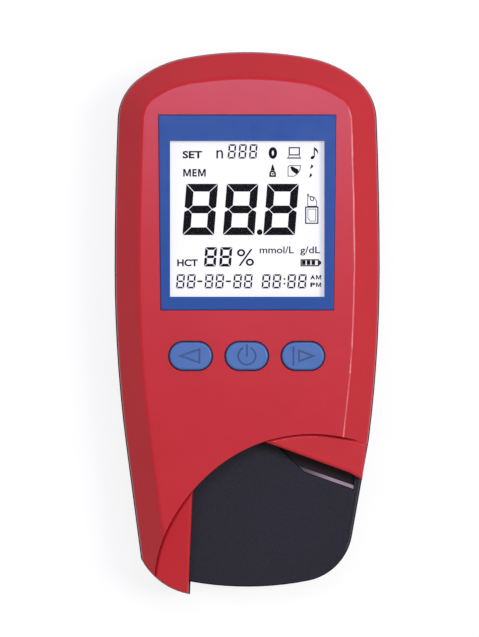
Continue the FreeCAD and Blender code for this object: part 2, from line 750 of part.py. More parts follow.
def rear_outer():
    case = rounded_back(case_face(), PARTING_Z, lambda p: p.y > -FAR + 1)
    deck = rounded_back(deck_face(), PARTING_Z, lambda p: p.y < FAR and p.x > FIN_TIP[0])
    fin = rounded_back(end_face(), PARTING_Z, lambda p: p.y < 0)
    fin = fin.cut(prism(right_of_fin(), BACK_Z - 1, PARTING_Z + 1))
    return case.common(deck.fuse(fin))


def bay_block(margin, bottom_z, top_z):
    half = BAY_HALF_WIDTH + margin
    return block(-half, half, BAY_BOTTOM_Y - margin, BAY_TOP_Y + margin, bottom_z, top_z)


def battery_ends():
    """For each cell: its x and the direction of its nub along y."""
    return [(-BATTERY_X, 1), (BATTERY_X, -1)]


def contact_tab_slots(gap):
    """Upright tabs of the two end contacts, through the bay's roof to the board."""
    slots = []
    for x, nub in battery_ends():
        half = CONTACT_TAB_WIDTH / 2 + gap
        y_low = BAY_BOTTOM_Y - gap
        y_high = BAY_BOTTOM_Y + CONTACT_THICKNESS + gap
        slots.append(block(x - half, x + half, y_low, y_high, BATTERY_Z, BOARD_Z))
    return slots


def rear_cover():
    """Dark tray with the bead along its seam, the battery bay, the screw bosses and the locating lip."""
    shell = rear_outer().fuse(rear_plan(-SEAM_BEAD_REACH, PARTING_Z - SEAM_BEAD_HEIGHT, PARTING_Z))
    shell = shell.cut(rear_plan(LIP_INNER, FLOOR_Z, PARTING_Z + 1))
    lip = rear_plan(LIP_OUTER, PARTING_Z - 1, PARTING_Z + LIP_HEIGHT)
    lip = lip.cut(rear_plan(LIP_INNER, PARTING_Z - 2, PARTING_Z + LIP_HEIGHT + 1))
    shell = shell.fuse([lip, bay_block(BAY_WALL, BACK_Z + DOOR_THICKNESS, BAY_ROOF_Z + BAY_ROOF)])
    shell = shell.cut(bay_block(0, BACK_Z - 1, BAY_ROOF_Z))
    shell = shell.cut(bay_block(BAY_WALL, BACK_Z - 1, DOOR_Z))
    for slot in contact_tab_slots(FACE_GAP):
        shell = shell.cut(slot)
    for side in (-1, 1):
        half = DOOR_TAB_WIDTH / 2 + DOOR_GAP
        x = side * DOOR_TAB_X
        wall_y = BAY_TOP_Y + BAY_WALL
        window_top_z = FLOOR_Z + DOOR_WINDOW_HEIGHT
        shell = shell.cut(block(x - half, x + half, BAY_TOP_Y - 1, wall_y, BACK_Z, window_top_z))
    sink_radius = SCREW_HEAD_RADIUS + SCREW_GAP
    for centre in case_boss_places():
        top = BOARD_TOP_Z if centre == FIN_BOSS else BOARD_Z
        shell = shell.fuse(rod(BOSS_RADIUS, BACK_Z, top, centre))
        shell = shell.cut(rod(sink_radius, BACK_Z - 1, SCREW_SEAT_Z + SCREW_HEAD_HEIGHT, centre))
        shell = shell.cut(rod(SCREW_SHANK_RADIUS + SCREW_GAP, BACK_Z, top + 1, centre))
    for centre in NOSE_BOSSES:
        top = NOSE_SEAT_Z + SCREW_HEAD_HEIGHT + DECK_PLATE
        shell = shell.fuse(rod(BOSS_RADIUS, BACK_Z, top, centre))
        shell = shell.cut(rod(sink_radius, BACK_Z - 1, NOSE_SEAT_Z + SCREW_HEAD_HEIGHT, centre))
        shell = shell.cut(rod(SCREW_SHANK_RADIUS + SCREW_GAP, BACK_Z, top + 1, centre))
    for centre in foot_places():
        shell = shell.cut(rod(FOOT_RADIUS + SCREW_GAP, BACK_Z - 1, BACK_Z + FOOT_SUNK, centre))
    reach = OPTICS_BOARD_WIDTH / 2 - POST_SETBACK
    middle_y = optics_board_front() + OPTICS_BOARD_LENGTH / 2
    for side in (-1, 1):
        for end in (-1, 1):
            spot = (STRIP_X + side * reach, middle_y + end * (OPTICS_BOARD_LENGTH / 2 - POST_SETBACK))
            shell = shell.fuse(rod(POST_RADIUS, FLOOR_Z - 1, OPTICS_BOARD_Z, spot))
    return shell.removeSplitter()


def optics_board_front():
    return SPOT_Y - OPTICS_LENGTH / 2 - OPTICS_BOARD_LEAD


def nose_cover():
    """Dark deck with its rounded outer edge, inner flange, bosses and strip recess."""
    block_all = prism(deck_face(), PARTING_Z, CROWN_Z).common(below_deck())
    rim = [
        edge for edge in block_all.Edges
        if edge.BoundBox.ZMin > PARTING_Z + 1
        and edge.CenterOfMass.x > FIN_TIP[0]
        and edge.CenterOfMass.y < FAR
    ]
    rounded = block_all.makeFillet(DECK_EDGE_RADIUS, rim)
    case = prism(case_face(), PARTING_Z, CROWN_Z)
    visible = rounded.common(deck_zone()).common(case)
    inside = prism(case_face(WALL + FACE_GAP), PARTING_Z, CROWN_Z)
    inside = inside.common(prism(end_face(WALL + FACE_GAP), PARTING_Z, CROWN_Z))
    flange = block_all.common(inside).common(deck_zone(CURTAIN + FLANGE_REACH))
    hollow = prism(deck_face(WALL), BACK_Z, CROWN_Z).common(below_deck(-DECK_PLATE))
    cover = visible.fuse(flange).cut(hollow)
    recess = polygon(recess_corners())
    pocket = prism(recess.makeOffset2D(RECESS_WALL), RECESS_FLOOR_Z - RECESS_PLATE, CROWN_Z)
    pocket = pocket.common(below_deck()).common(inside.common(prism(deck_face(WALL / 2), BACK_Z, CROWN_Z)))
    cover = cover.fuse(pocket)
    for centre in NOSE_BOSSES:
        bottom = NOSE_SEAT_Z + SCREW_HEAD_HEIGHT + DECK_PLATE + FACE_GAP
        cover = cover.fuse(rod(BOSS_RADIUS, bottom, CROWN_Z, centre).common(below_deck(-DECK_PLATE / 2)))
        pilot_top = NOSE_SEAT_Z + SCREW_HEAD_HEIGHT + NOSE_SCREW_LENGTH + 0.2
        cover = cover.cut(rod(SCREW_SHANK_RADIUS + SCREW_GAP, bottom - 1, pilot_top, centre))
    cover = cover.cut(prism(recess, RECESS_FLOOR_Z, CROWN_Z))
    cover = cover.cut(guide_block(GUIDE_GAP, BACK_Z, CROWN_Z))
    return cover.removeSplitter()


def display_bezel():
    plate = prism(bezel_face(), BEZEL_Z, BEZEL_Z + BEZEL_THICKNESS)
    upright = [e for e in plate.Edges if abs(e.tangentAt(e.FirstParameter).z) > 0.5]
    plate = plate.makeFillet(BEZEL_CORNER, upright)
    top_rim = [e for e in plate.Edges if e.BoundBox.ZMin > BEZEL_Z + BEZEL_THICKNESS - 0.01]
    plate = plate.makeFillet(BEZEL_RIM_ROUNDING, top_rim)
    window = block(
        -WINDOW_HALF_WIDTH, WINDOW_HALF_WIDTH,
        WINDOW_BOTTOM_Y, WINDOW_TOP_Y,
        BEZEL_Z - 1, CROWN_Z + 1,
    )
    return plate.cut(window)


def display_lens():
    half = WINDOW_HALF_WIDTH - LENS_GAP
    low_y, high_y = WINDOW_BOTTOM_Y + LENS_GAP, WINDOW_TOP_Y - LENS_GAP
    pane = block(-half, half, low_y, high_y, LENS_Z, BEZEL_Z + BEZEL_THICKNESS)
    half = WINDOW_HALF_WIDTH + LENS_FLANGE
    flange = block(
        -half, half,
        WINDOW_BOTTOM_Y - LENS_FLANGE, WINDOW_TOP_Y + LENS_FLANGE,
        LENS_Z, BEZEL_Z,
    )
    return joined([pane, flange])


def lcd_block(margin, extra_low, z_low, z_high):
    half = WINDOW_HALF_WIDTH + LCD_MARGIN + margin
    y_low = WINDOW_BOTTOM_Y - LCD_MARGIN - margin - extra_low
    return block(-half, half, y_low, WINDOW_TOP_Y + LCD_MARGIN + margin, z_low, z_high)


def lcd_glass():
    front = lcd_block(0, 0, LCD_BACK_Z + LCD_PLATE, LCD_FACE_Z)
    back = lcd_block(0, LCD_LEDGE, LCD_BACK_Z, LCD_BACK_Z + LCD_PLATE)
    return joined([front, back])


def lcd_frame():
    roof_z = CROWN_Z - ROOF - crown_sag(WINDOW_HALF_WIDTH + LCD_MARGIN + LCD_FRAME_GAP + LCD_FRAME_WALL)
    top_z = min(roof_z - LCD_FRAME_TOP_GAP, LCD_FACE_Z)
    outer = lcd_block(LCD_FRAME_GAP + LCD_FRAME_WALL, LCD_LEDGE, BOARD_TOP_Z, top_z)
    inner = lcd_block(LCD_FRAME_GAP, LCD_LEDGE, BOARD_TOP_Z - 1, CROWN_Z)
    shelf = lcd_block(LCD_FRAME_GAP, 0, BACKLIGHT_Z - 0.8, BACKLIGHT_Z)
    shelf = shelf.cut(lcd_block(-2.5, 0, BOARD_TOP_Z, CROWN_Z))
    return joined([outer.cut(inner), shelf])


def lcd_backlight():
    return lcd_block(0, 0, BACKLIGHT_Z, LCD_BACK_Z)


def lcd_connector_strips():
    half = WINDOW_HALF_WIDTH - 1.0
    y_low = WINDOW_BOTTOM_Y - LCD_MARGIN - LCD_LEDGE + 0.2
    return block(-half, half, y_low, y_low + CONNECTOR_THICKNESS, BOARD_TOP_Z, LCD_BACK_Z)


def key_icon(name, centre):
    """Engraved outline on a key: a triangle, a ring with a bar, or a bar with a triangle."""
    x, y = centre
    top = CROWN_Z + KEY_PROUD
    low = top - KEY_GROOVE_DEPTH
    half = KEY_GROOVE_WIDTH / 2

    def triangle(base_x, apex_x, half_height):
        outer = polygon([(base_x, y - half_height), (apex_x, y), (base_x, y + half_height)])
        inner = outer.makeOffset2D(-KEY_GROOVE_WIDTH)
        return prism(outer, low, top + 1).cut(prism(inner, low - 1, top + 2))

    if name == "back":
        return triangle(x + 2.3, x - 3.1, 1.9)
    if name == "forward":
        bar = block(x - 2.3 - half, x - 2.3 + half, y - 2.3, y + 2.3, low, top + 1)
        return bar.fuse(triangle(x - 1.2, x + 3.1, 1.6))
    ring = rod(2.3, low, top + 1, centre).cut(rod(2.3 - KEY_GROOVE_WIDTH, low - 1, top + 2, centre))
    ring = ring.cut(block(x - 0.9, x + 0.9, y, y + 3, low - 1, top + 2))
    return ring.fuse(block(x - half, x + half, y - 0.2, y + 2.8, low, top + 1))


def key_cap(name, centre):
    top = CROWN_Z + KEY_PROUD
    outermost = KEY_PITCH + KEY_LENGTH / 2 + KEY_FLANGE
    flange_top = CROWN_Z - ROOF - crown_sag(outermost) - KEY_REST_GAP
    flange_bottom = flange_top - KEY_FLANGE_THICKNESS
    cap = stadium(centre, KEY_LENGTH, KEY_WIDTH, flange_bottom, top)
    rim = [e for e in cap.Edges if e.BoundBox.ZMin > top - 0.01]
    cap = cap.makeFillet(KEY_EDGE_RADIUS, rim)
    flange = stadium(
        centre, KEY_LENGTH + 2 * KEY_FLANGE, KEY_WIDTH + 2 * KEY_FLANGE, flange_bottom, flange_top
    )
    post = rod(KEY_POST_RADIUS, PLUNGER_TOP_Z, flange_bottom, centre)
    return joined([cap, flange, post]).cut(key_icon(name, centre))


def switch_plunger(centre):
    return rod(PLUNGER_RADIUS, SWITCH_TOP_Z - PLUNGER_SUNK, PLUNGER_TOP_Z, centre)


def key_switches():
    half = SWITCH_SIDE / 2
    bodies = []
    for x, y in key_centres():
        body = rounded_plate(x - half, x + half, y - half, y + half, BOARD_TOP_Z, SWITCH_TOP_Z, 0.5)
        well_z = SWITCH_TOP_Z - PLUNGER_SUNK - KEY_TRAVEL - PLUNGER_GAP
        bodies.append(body.cut(rod(PLUNGER_RADIUS + PLUNGER_GAP, well_z, SWITCH_TOP_Z + 1, (x, y))))
    return Part.makeCompound(bodies)


def main_board():
    board = prism(case_face(BOARD_SETBACK), BOARD_Z, BOARD_TOP_Z)
    board = board.common(block(-FAR, FAR, BOARD_BOTTOM_Y, FAR, BOARD_Z, BOARD_TOP_Z))
    for centre in case_boss_places()[:4]:
        board = board.cut(rod(SCREW_SHANK_RADIUS + SCREW_GAP, BOARD_Z - 1, BOARD_TOP_Z + 1, centre))
    return board


def screw(centre, seat_z, length):
    """Pan head in its seat, shank up from it, with a cross slot in the head."""
    head_top = seat_z + SCREW_HEAD_HEIGHT
    head = rod(SCREW_HEAD_RADIUS, seat_z, head_top, centre)
    x, y = centre
    arm = SCREW_HEAD_RADIUS * 0.6
    for across, along in ((arm, DRIVE_SLOT / 2), (DRIVE_SLOT / 2, arm)):
        slot_top_z = seat_z + SCREW_HEAD_HEIGHT / 2
        head = head.cut(block(x - across, x + across, y - along, y + along, seat_z, slot_top_z))
    return joined([head, rod(SCREW_SHANK_RADIUS, head_top, head_top + length, centre)])


def battery(x, nub):
    """One cell lying along y, with its nub towards one end of the bay."""
    spring_side = BAY_CENTRE_Y - nub * (BAY_LENGTH / 2 - CONTACT_THICKNESS - SPRING_LENGTH)
    start = Vector(x, spring_side, BATTERY_Z)
    way = Vector(0, nub, 0)
    body = Part.makeCylinder(BATTERY_RADIUS, BATTERY_BODY_LENGTH, start, way)
    rims = [e for e in body.Edges if isinstance(e.Curve, Part.Circle)]
    body = body.makeFillet(0.5, rims)
    tip = Part.makeCylinder(BATTERY_NUB_RADIUS, BATTERY_NUB_LENGTH, start + way * BATTERY_BODY_LENGTH, way)
    return joined([body, tip])


def half_turn(step):
    """One tilted half ring of wire, which climbs half a turn's pitch from one side to the other."""
    side = 1 if step % 2 == 0 else -1
    rise = (SPRING_LENGTH - 2 * SPRING_WIRE_RADIUS) / (2 * SPRING_TURNS)
    start = Vector(side * SPRING_RADIUS, 0, step * rise)
    end = Vector(-side * SPRING_RADIUS, 0, (step + 1) * rise)
    section = Part.Face(Part.Wire(Part.makeCircle(SPRING_WIRE_RADIUS, start, Vector(0, 1, 0))))
    axis = Vector(0, side, 0).cross(end - start)
    return section.revolve((start + end) * 0.5, axis, 180)


def battery_springs():
    """A coil at each cell's flat end."""
    coils = []
    for x, nub in battery_ends():
        halves = [half_turn(step) for step in range(2 * SPRING_TURNS)]
        coil = halves[0].fuse(halves[1:])
        coil.rotate(Vector(0, 0, 0), Vector(1, 0, 0), -90 * nub)
        wall_y = BAY_CENTRE_Y - nub * (BAY_LENGTH / 2 - CONTACT_THICKNESS - SPRING_WIRE_RADIUS)
        coil.translate(Vector(x, wall_y, BATTERY_Z))
        coils.append(coil)
    return Part.makeCompound(coils)


def battery_contacts():
    """One wide plate that links the cells at the top end, and two tabbed plates at the lower end."""
    half_height = CONTACT_HEIGHT / 2
    z_low, z_high = BATTERY_Z - half_height, BATTERY_Z + half_height
    reach = BATTERY_X + CONTACT_WIDTH / 2
    link = block(-reach, reach, BAY_TOP_Y - CONTACT_THICKNESS, BAY_TOP_Y, z_low, z_high)
    plates = [link]
    for (x, nub), tab in zip(battery_ends(), contact_tab_slots(0)):
        half = CONTACT_WIDTH / 2
        plate = block(x - half, x + half, BAY_BOTTOM_Y, BAY_BOTTOM_Y + CONTACT_THICKNESS, z_low, z_high)
        plates.append(joined([plate, tab]))
    return Part.makeCompound(plates)


def door_edges():
    """Half width, lower y and upper y of the door."""
    return (
        BAY_HALF_WIDTH + BAY_WALL - DOOR_GAP,
        BAY_BOTTOM_Y - BAY_WALL + DOOR_GAP,
        BAY_TOP_Y + BAY_WALL - DOOR_GAP,
    )


def battery_door():
    """Flat door with two hooks at its top end and a notch for its latch."""
    half, low, high = door_edges()
    door = rounded_plate(-half, half, low, high, BACK_Z, DOOR_Z, 1.0)
    for side in (-1, 1):
        x = side * DOOR_TAB_X
        x_low, x_high = x - DOOR_TAB_WIDTH / 2, x + DOOR_TAB_WIDTH / 2
        tab_z = FLOOR_Z + DOOR_TAB_LIFT
        hook_top = tab_z + DOOR_TAB_THICKNESS
        post = block(x_low, x_high, high - DOOR_POST_DEPTH, high, DOOR_Z, hook_top)
        hook = block(x_low, x_high, high - DOOR_POST_DEPTH, high + DOOR_TAB_REACH, tab_z, hook_top)
        door = door.fuse([post, hook])
    notch_half = LATCH_WIDTH / 2 + DOOR_GAP
    notch = block(-notch_half, notch_half, low - 1, low + LATCH_LENGTH, BACK_Z - 1, DOOR_Z + 1)
    return door.cut(notch).removeSplitter()


def door_latch():
    """Springy tongue in the door's notch, with a ribbed thumb grip."""
    half, low, high = door_edges()
    root_y = low + LATCH_LENGTH
    tongue = block(-LATCH_WIDTH / 2, LATCH_WIDTH / 2, low, root_y, BACK_Z, BACK_Z + LATCH_THICKNESS)
    for step in range(3):
        y = low + 1.0 + step * 1.2
        groove = block(-LATCH_GRIP_WIDTH / 2, LATCH_GRIP_WIDTH / 2, y, y + 0.5, BACK_Z - 1, BACK_Z + 0.3)
        tongue = tongue.cut(groove)
    return tongue


def strip_guide():
    """Strip holder: a floor in the recess with a raised front lip, and the slotted block behind it."""
    floor_z = RECESS_FLOOR_Z
    outline = polygon(recess_corners()).makeOffset2D(-FACE_GAP)
    tray = prism(outline, floor_z, floor_z + GUIDE_FLOOR)
    lip = prism(outline, floor_z, GUIDE_LIP_TOP_Z)
    lip_line = plan(RECESS_FOOT) - plan(RECESS_ELBOW)
    aside = Vector(-lip_line.y, lip_line.x, 0).normalize() * (GUIDE_LIP + FACE_GAP)
    far = Vector(lip_line).normalize() * FAR
    start, end = plan(RECESS_ELBOW) - far, plan(RECESS_FOOT) + far
    band = prism(polygon([start - aside, end - aside, end + aside, start + aside]), floor_z, CROWN_Z)
    body_top = floor_z + GUIDE_FLOOR + STRIP_SLOT_HEIGHT + GUIDE_ROOF
    rear = guide_block(0, floor_z, body_top)
    half_slot = STRIP_SLOT_WIDTH / 2
    slot = block(
        STRIP_X - half_slot, STRIP_X + half_slot,
        GUIDE_FRONT_Y - 1, GUIDE_BACK_Y - 1.5,
        floor_z + GUIDE_FLOOR, floor_z + GUIDE_FLOOR + STRIP_SLOT_HEIGHT,
    )
    sight = rod(SPOT_RADIUS, floor_z - 1, floor_z + GUIDE_FLOOR + 0.1, (STRIP_X, SPOT_Y))
    return joined([tray, lip.common(band), rear]).cut(slot).cut(sight)


def optics_span():
    half = OPTICS_WIDTH / 2
    return (STRIP_X - half, STRIP_X + half, SPOT_Y - OPTICS_LENGTH / 2, SPOT_Y + OPTICS_LENGTH / 2)


def chip_block(y, gap):
    size_x, size_y, size_z = EMITTER_SIZE
    return block(
        STRIP_X - size_x / 2 - gap, STRIP_X + size_x / 2 + gap,
        y - size_y / 2 - gap, y + size_y / 2 + gap,
        OPTICS_BOARD_TOP_Z, OPTICS_BOARD_TOP_Z + size_z + gap,
    )


def optics_housing():
    """Block that holds two slanting light channels and one upright one under the measuring spot."""
    housing = block(*optics_span(), OPTICS_BOARD_TOP_Z, RECESS_FLOOR_Z)
    spot = Vector(STRIP_X, SPOT_Y, RECESS_FLOOR_Z)
    for offset in (-EMITTER_OFFSET, 0, EMITTER_OFFSET):
        source = Vector(STRIP_X, SPOT_Y + offset, OPTICS_BOARD_TOP_Z)
        way = spot - source
        housing = housing.cut(Part.makeCylinder(LIGHT_CHANNEL_RADIUS, way.Length, source, way))
        housing = housing.cut(chip_block(SPOT_Y + offset, CHIP_POCKET_GAP))
    seat_z = RECESS_FLOOR_Z - OPTICS_WINDOW_THICKNESS
    return housing.cut(rod(OPTICS_WINDOW_RADIUS + SCREW_GAP, seat_z, RECESS_FLOOR_Z + 1, (STRIP_X, SPOT_Y)))


def optics_window():
    seat_z = RECESS_FLOOR_Z - OPTICS_WINDOW_THICKNESS
    return rod(OPTICS_WINDOW_RADIUS, seat_z, RECESS_FLOOR_Z, (STRIP_X, SPOT_Y))


def optics_board():
    half = OPTICS_BOARD_WIDTH / 2
    y_low = optics_board_front()
    y_high = y_low + OPTICS_BOARD_LENGTH
    return block(STRIP_X - half, STRIP_X + half, y_low, y_high, OPTICS_BOARD_Z, OPTICS_BOARD_TOP_Z)


def light_emitters():
    return Part.makeCompound([chip_block(SPOT_Y + side * EMITTER_OFFSET, 0) for side in (-1, 1)])


def photodiode():
    return chip_block(SPOT_Y, 0)


def chip(place, size, bottom_z):
    """A flat part with softened corners, standing on a board's face."""
    half_x, half_y = size[0] / 2, size[1] / 2
    x, y = place
    return rounded_plate(
        x - half_x, x + half_x, y - half_y, y + half_y, bottom_z, bottom_z + size[2], CHIP_CORNER
    )


def buzzer():
    bottom = BOARD_Z - BUZZER_HEIGHT
    can = rod(BUZZER_RADIUS, bottom, BOARD_Z, BUZZER_PLACE)
    return can.cut(rod(BUZZER_HOLE_RADIUS, bottom - 1, bottom + BUZZER_HEIGHT / 2, BUZZER_PLACE))


def connector_backs():
    """Rear faces of the lower and the upper connector along y."""
    low_back = optics_board_front() + OPTICS_BOARD_LENGTH - CONNECTOR_MARGIN
    return low_back, BOARD_BOTTOM_Y + CONNECTOR_MARGIN / 2 + CONNECTOR_DEPTH


def ribbon_levels():
    return OPTICS_BOARD_TOP_Z + CONNECTOR_HEIGHT / 2, BOARD_Z - CONNECTOR_HEIGHT / 2


def flex_connectors():
    """One connector on each board, each with a slit for the ribbon."""
    half = FLEX_WIDTH / 2 + CONNECTOR_MARGIN
    bodies = []
    bottoms = (OPTICS_BOARD_TOP_Z, BOARD_Z - CONNECTOR_HEIGHT)
    for bottom, back, level in zip(bottoms, connector_backs(), ribbon_levels()):
        top = bottom + CONNECTOR_HEIGHT
        body = block(FLEX_X - half, FLEX_X + half, back - CONNECTOR_DEPTH, back, bottom, top)
        slit = FLEX_THICKNESS / 2 + PLUNGER_GAP
        body = body.cut(block(
            FLEX_X - FLEX_WIDTH / 2 - PLUNGER_GAP, FLEX_X + FLEX_WIDTH / 2 + PLUNGER_GAP,
            back - CONNECTOR_DEPTH / 2, back + 1, level - slit, level + slit,
        ))
        bodies.append(body)
    return Part.makeCompound(bodies)


def ribbon_side(offset):
    """Edges of the ribbon's path in the upright plane, moved outwards by an offset."""
    low_back, high_back = connector_backs()
    low_z, high_z = ribbon_levels()
    bend_y = max(low_back, high_back) + FLEX_SETBACK
    reach = FLEX_BEND + offset
    sunk = CONNECTOR_DEPTH / 2 - PLUNGER_GAP

    def point(y, z):
        return Vector(FLEX_X - FLEX_WIDTH / 2, y, z)

    def bend(centre_z, first, last):
        spots = []
        for angle in (first, (first + last) / 2, last):
            way = at(angle)
            spots.append(point(bend_y + way.x * reach, centre_z + way.y * reach))
        return arc(*spots)

    return [
        line(point(low_back - sunk, low_z - offset), point(bend_y, low_z - offset)),
        bend(low_z + FLEX_BEND, -90, 0),
        line(point(bend_y + reach, low_z + FLEX_BEND), point(bend_y + reach, high_z - FLEX_BEND)),
        bend(high_z - FLEX_BEND, 0, 90),
        line(point(bend_y, high_z + offset), point(high_back - sunk, high_z + offset)),
    ]


def flex_cable():
    """Ribbon that loops from the lower connector up to the upper one."""
    outer, inner = ribbon_side(FLEX_THICKNESS / 2), ribbon_side(-FLEX_THICKNESS / 2)
    low_end = line(inner[0].Vertexes[0].Point, outer[0].Vertexes[0].Point)
    high_end = line(outer[-1].Vertexes[-1].Point, inner[-1].Vertexes[-1].Point)
    profile = Part.Face(Part.Wire(Part.__sortEdges__(outer + [high_end] + inner + [low_end])))
    return profile.extrude(Vector(FLEX_WIDTH, 0, 0))


def ink(points):
    return prism(polygon(points), LCD_FACE_Z, LCD_FACE_Z + INK_THICKNESS)


def figure(place, size, stroke):
    """The seven mitred strokes of an 8, leaning to the right."""
    lean = math.tan(math.radians(FIGURE_SLANT))
    width, height = size[0] - lean * size[1], size[1]
    inner, half, middle, gap = stroke + INK_GAP, stroke / 2, height / 2, INK_GAP
    top = [(gap, height), (width - gap, height), (width - inner, height - stroke), (inner, height - stroke)]
    side = [
        (0, height - gap),
        (stroke, height - inner),
        (stroke, middle + half + gap),
        (half, middle + gap),
        (0, middle + half / 2 + gap),
    ]
    waist = [
        (half + gap, middle), (inner, middle + half), (width - inner, middle + half),
        (width - half - gap, middle), (width - inner, middle - half), (inner, middle - half),
    ]
    strokes = [top, waist, [(x, height - y) for x, y in top]]
    for points in (side, [(x, height - y) for x, y in side]):
        strokes += [points, [(width - x, y) for x, y in points]]
    return [ink([(place[0] + x + lean * y, place[1] + y) for x, y in points]) for points in strokes]


def figure_row(place, size, stroke, pitch, count):
    strokes = []
    for step in range(count):
        strokes += figure((place[0] + step * pitch, place[1]), size, stroke)
    return strokes


def ink_rectangle(x, y, width, height):
    return ink([(x, y), (x + width, y), (x + width, y + height), (x, y + height)])


def ink_frame(mark):
    x, y, width, height = mark
    rim = MARK_FRAME
    hole = block(x + rim, x + width - rim, y + rim, y + height - rim, LCD_FACE_Z - 1, CROWN_Z)
    return ink_rectangle(*mark).cut(hole)


def lcd_segments():
    """Result figures, small figures, clock row and plain marks, as thin ink on the glass."""
    inks = figure_row(RESULT_PLACE, RESULT_SIZE, RESULT_STROKE, RESULT_PITCH, 3)
    inks.append(rod(POINT_RADIUS, LCD_FACE_Z, LCD_FACE_Z + INK_THICKNESS, POINT_PLACE))
    inks += figure_row(COUNT_PLACE, COUNT_SIZE, FINE_STROKE, COUNT_PITCH, 3)
    inks += figure_row(RATIO_PLACE, RATIO_SIZE, RATIO_STROKE, RATIO_PITCH, 2)
    x, y = CLOCK_PLACE
    for group in range(3):
        group_x = x + group * CLOCK_GROUP_PITCH
        inks += figure_row((group_x, y), CLOCK_SIZE, FINE_STROKE, CLOCK_PITCH, 2)
    for group in range(2):
        dash_x = x + group * CLOCK_GROUP_PITCH + 2 * CLOCK_PITCH
        inks.append(ink_rectangle(dash_x, y + (CLOCK_SIZE[1] - DASH_SIZE[1]) / 2, *DASH_SIZE))
    for group_x in (CLOCK_TIME_X, CLOCK_MINUTES_X):
        inks += figure_row((group_x, y), CLOCK_SIZE, FINE_STROKE, CLOCK_PITCH, 2)
    for level in (1, 2):
        colon_y = y + level * CLOCK_SIZE[1] / 3 - FINE_STROKE / 2
        inks.append(ink_rectangle(CLOCK_MINUTES_X - 2 * FINE_STROKE, colon_y, FINE_STROKE, FINE_STROKE))
    inks += [ink_frame(mark) for mark in (BATTERY_MARK, STRIP_MARK, SCREEN_MARK)]
    return Part.makeCompound(inks)


def write(name, shape):
    shape.exportStep("parts/" + name + ".step")
    solids = len(shape.Solids)
    print(f"{name}: {solids} solids, volume {shape.Volume:.1f}, valid {shape.isValid()}")


def main():
    os.makedirs("parts", exist_ok=True)
    write("front_cover", front_cover())
    write("rear_cover", rear_cover())
    write("nose_cover", nose_cover())
    write("display_bezel", display_bezel())
    write("display_lens", display_lens())
    write("lcd_glass", lcd_glass())
    write("lcd_frame", lcd_frame())
    write("lcd_backlight", lcd_backlight())
    write("lcd_connector_strips", lcd_connector_strips())
    for name, centre in zip(("back", "power", "forward"), key_centres()):
        write("key_" + name, key_cap(name, centre))
        write("plunger_" + name, switch_plunger(centre))
    write("key_switches", key_switches())
    write("main_board", main_board())
    screws = [screw(centre, SCREW_SEAT_Z, SCREW_SHANK_LENGTH) for centre in case_boss_places()]
    write("case_screws", Part.makeCompound(screws))
    screws = [screw(centre, NOSE_SEAT_Z, NOSE_SCREW_LENGTH) for centre in NOSE_BOSSES]
    write("nose_screws", Part.makeCompound(screws))
    for name, (x, nub) in zip(("left", "right"), battery_ends()):
        write("battery_" + name, battery(x, nub))
    write("battery_springs", battery_springs())
    write("battery_contacts", battery_contacts())
    write("battery_door", battery_door())
    write("door_latch", door_latch())
    write("strip_guide", strip_guide())
    write("optics_housing", optics_housing())
    write("optics_window", optics_window())
    write("optics_board", optics_board())
    write("light_emitters", light_emitters())
    write("photodiode", photodiode())
    write("flex_connectors", flex_connectors())
    write("flex_cable", flex_cable())
    write("microcontroller", chip(CONTROLLER_PLACE, CONTROLLER_SIZE, BOARD_TOP_Z))
    write("memory_chip", chip(MEMORY_PLACE, MEMORY_SIZE, BOARD_TOP_Z))
    write("clock_crystal", chip(CRYSTAL_PLACE, CRYSTAL_SIZE, BOARD_TOP_Z))
    write("power_inductor", chip(INDUCTOR_PLACE, INDUCTOR_SIZE, BOARD_TOP_Z))
    write("radio_module", chip(RADIO_PLACE, RADIO_SIZE, BOARD_Z - RADIO_SIZE[2]))
    write("buzzer", buzzer())
    write("lcd_segments", lcd_segments())
    feet = [rod(FOOT_RADIUS, 0, BACK_Z + FOOT_SUNK, centre) for centre in foot_places()]
    write("rubber_feet", Part.makeCompound(feet))


main()
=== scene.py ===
"""Looks of a handheld hemoglobin meter: its finishes, the printing on its display and a plain studio.

The meter lies on its back. X points across it, Y towards its top end and Z out of the display.
Lengths in the dataclass fields are in millimetres; meshes are in metres.
"""

import logging
import math
from dataclasses import dataclass, field, replace
from enum import Enum

import bmesh
import bpy
from mathutils import Matrix, Vector

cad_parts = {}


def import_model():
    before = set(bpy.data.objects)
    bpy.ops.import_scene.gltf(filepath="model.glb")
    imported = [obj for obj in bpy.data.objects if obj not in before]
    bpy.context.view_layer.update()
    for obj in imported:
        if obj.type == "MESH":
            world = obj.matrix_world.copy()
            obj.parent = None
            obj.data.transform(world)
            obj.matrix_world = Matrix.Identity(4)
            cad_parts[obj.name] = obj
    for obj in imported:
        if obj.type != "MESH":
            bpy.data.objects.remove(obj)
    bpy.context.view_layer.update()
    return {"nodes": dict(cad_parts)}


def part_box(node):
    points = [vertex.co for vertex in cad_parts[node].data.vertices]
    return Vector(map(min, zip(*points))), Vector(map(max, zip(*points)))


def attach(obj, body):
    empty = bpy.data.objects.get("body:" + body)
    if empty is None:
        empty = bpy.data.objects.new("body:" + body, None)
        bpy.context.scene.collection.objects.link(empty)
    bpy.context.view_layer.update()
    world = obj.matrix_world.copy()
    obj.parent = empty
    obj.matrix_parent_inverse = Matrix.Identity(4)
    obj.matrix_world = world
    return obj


LOG = logging.getLogger("hemoglobin_meter")

MM = 0.001
WHITE = (1, 1, 1, 1)

# The part of a texture's range over which it fades from one look to the other.
PATCH_FADE = (0.35, 0.65)
WEAR_FADE = (0.3, 0.7)
BRUSH_FADE = (0.25, 0.75)
PEBBLE_FADE = (0.0, 0.7)

# Sockets of a Mix node that is set to colours, and the phase of a Wave node for each unit of place and scale.
MIX_INPUTS = (6, 7)
MIX_RESULT = 2
WAVE_PHASE = 20.0

